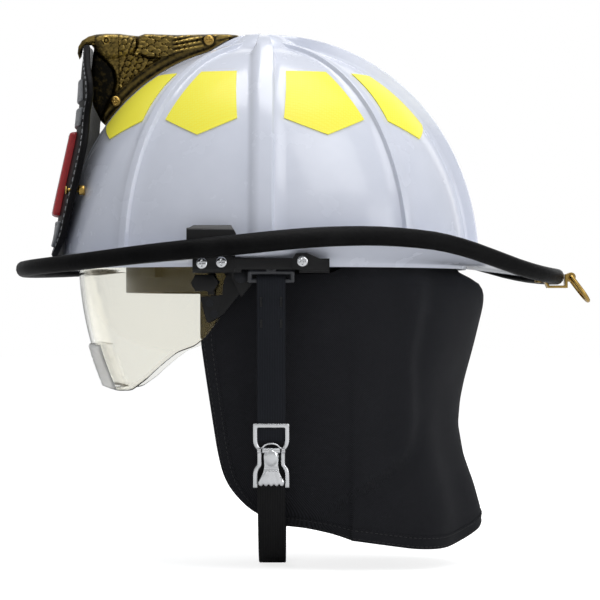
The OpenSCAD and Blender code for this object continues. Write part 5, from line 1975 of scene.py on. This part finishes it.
@dataclass
class Studio:
    """The pale floor, the soft light and the camera at the photograph's angle.

    Attributes:
        target: The point that the camera looks at, in millimetres.
        distance: The camera's distance from it.
        elevation: The camera's height angle in degrees.
        span: Width of the view at the target.
        sensor: Width of the camera's sensor.
        floor_z: The floor's height.
        floor_half: Half the floor's side, in metres.
        floor_glow: How bright the floor is to the camera and through the lens.
        sky: Colour of the light from all round.
        sky_strength: Its strength.
        glossy_white: Share of white in what gloss and metal see of it.
        aim: The point that the lamps face, in metres.
        lamps: Each lamp's name, its place and side in metres, and its power in watts.
    """

    target: Point = (26.6, 0, -21)
    distance: float = 1950
    elevation: float = -0.5
    span: float = 420
    sensor: float = 36
    floor_z: float = -205
    floor_half: float = 12.0
    floor_glow: float = 0.8
    sky: Colour = (0.86, 0.88, 0.9)
    sky_strength: float = 0.3
    glossy_white: float = 0.3
    aim: Point = (0.02, 0, 0)
    lamps: tuple[tuple[str, Point, float, float], ...] = (
        ("key_rear", (0.9, -1.2, 1.3), 1.0, 7),
        ("rear_low", (1.5, -0.75, 0.2), 0.8, 4.5),
        ("fill_front", (-1.3, -1.0, 0.8), 1.2, 0.9),
        ("top_soft", (0.15, -0.1, 1.7), 1.2, 17),
        ("back_soft", (0.5, 1.4, 0.6), 1.3, 4),
        ("low_soft", (0.1, -1.2, -0.9), 1.2, 0.8))

    def camera(self) -> None:
        """Places the camera."""
        data = bpy.data.cameras.new("camera")
        data.sensor_width = self.sensor
        data.lens = self.sensor * self.distance / self.span
        camera = bpy.data.objects.new("camera", data)
        bpy.context.collection.objects.link(camera)
        rise = math.radians(self.elevation)
        camera.location = (self.target[0] * MM, -self.distance * math.cos(rise) * MM,
                           (self.target[2] + self.distance * math.sin(rise)) * MM)
        camera.rotation_euler = (math.radians(90) - rise, 0, 0)
        bpy.context.scene.camera = camera

    def lamp(self, name: str, at: Point, size: float, power: float) -> None:
        """Adds a soft square lamp that faces the helmet.

        Args:
            name: The lamp's name.
            at: Its place in metres.
            size: Its side in metres.
            power: Its power in watts.
        """
        data = bpy.data.lights.new(name, "AREA")
        data.size = size
        data.energy = power
        lamp = bpy.data.objects.new(name, data)
        lamp.location = at
        aim = Vector(self.aim) - Vector(at)
        lamp.rotation_euler = aim.to_track_quat("-Z", "Y").to_euler()
        bpy.context.collection.objects.link(lamp)

    @staticmethod
    def seen(tree: bpy.types.NodeTree, path: bpy.types.Node) -> bpy.types.NodeSocket:
        """Returns the socket that is 1 for what the camera sees, also through the lens."""
        rays = path.outputs
        return maths(tree, "MAXIMUM", rays["Is Camera Ray"], rays["Is Transmission Ray"])

    def world(self) -> None:
        """Sets a soft grey world that the camera and glass see as white, and gloss in part."""
        world = bpy.data.worlds.new("studio_world")
        world.use_nodes = True
        bpy.context.scene.world = world
        tree = world.node_tree
        back = tree.nodes["Background"]
        back.inputs["Color"].default_value = (*self.sky, 1)
        back.inputs["Strength"].default_value = self.sky_strength
        white = tree.nodes.new("ShaderNodeBackground")
        white.inputs["Color"].default_value = (1, 1, 1, 1)
        white.inputs["Strength"].default_value = 1.0
        path = tree.nodes.new("ShaderNodeLightPath")
        part = maths(tree, "MULTIPLY", path.outputs["Is Glossy Ray"], self.glossy_white)
        choose = tree.nodes.new("ShaderNodeMixShader")
        feed(tree, choose.inputs["Fac"], maths(tree, "MAXIMUM", self.seen(tree, path), part))
        tree.links.new(back.outputs[0], choose.inputs[1])
        tree.links.new(white.outputs[0], choose.inputs[2])
        tree.links.new(choose.outputs[0], tree.nodes["World Output"].inputs["Surface"])

    def floor(self) -> None:
        """Lays a pale floor just under the strap, which keeps the helmet's shadow."""
        level, half = self.floor_z * MM, self.floor_half
        mesh = bpy.data.meshes.new("studio_floor")
        mesh.from_pydata([(-half, -half, level), (half, -half, level), (half, half, level),
                          (-half, half, level)], [], [(0, 1, 2, 3)])
        floor = bpy.data.objects.new("studio_floor", mesh)
        bpy.context.collection.objects.link(floor)
        material = bpy.data.materials.new("floor_white")
        material.use_nodes = True
        tree = material.node_tree
        shader = tree.nodes["Principled BSDF"]
        shader.inputs["Base Color"].default_value = (0.86, 0.86, 0.86, 1)
        shader.inputs["Roughness"].default_value = 0.9
        shader.inputs["Specular IOR Level"].default_value = 0.0
        path = tree.nodes.new("ShaderNodeLightPath")
        glow = mixed(tree, self.seen(tree, path), (0, 0, 0, 1), (1, 1, 1, 1))
        tree.links.new(glow, shader.inputs["Emission Color"])
        shader.inputs["Emission Strength"].default_value = self.floor_glow
        mesh.materials.append(material)

    def build(self) -> None:
        """Builds the camera, floor, lamps and world."""
        self.camera()
        self.floor()
        for lamp in self.lamps:
            self.lamp(*lamp)
        self.world()
        bpy.context.scene.view_settings.view_transform = "Standard"


def dress_nodes() -> None:
    """Gives every CAD node the finish of its material slot."""
    for row in frame["record"]["subparts"]:
        finish = FINISHES[row["material_slot"]]
        dress(row["node"], finish)
        LOG.info("%s is dressed in %s", row["node"], finish.name)


def main() -> None:
    """Builds every sub-assembly in order."""
    logging.basicConfig(level=logging.INFO, format="%(message)s")
    dress_nodes()
    for assembly in (Shell(), ReflectivePanels(), EagleHolder(), FrontPiece(), VisorLens(),
                     ChinStrap(), NeckCover(), Inside(), HangingRing(), Hardware()):
        assembly.build()
    Studio().build()


if __name__ == "__main__":
    main()
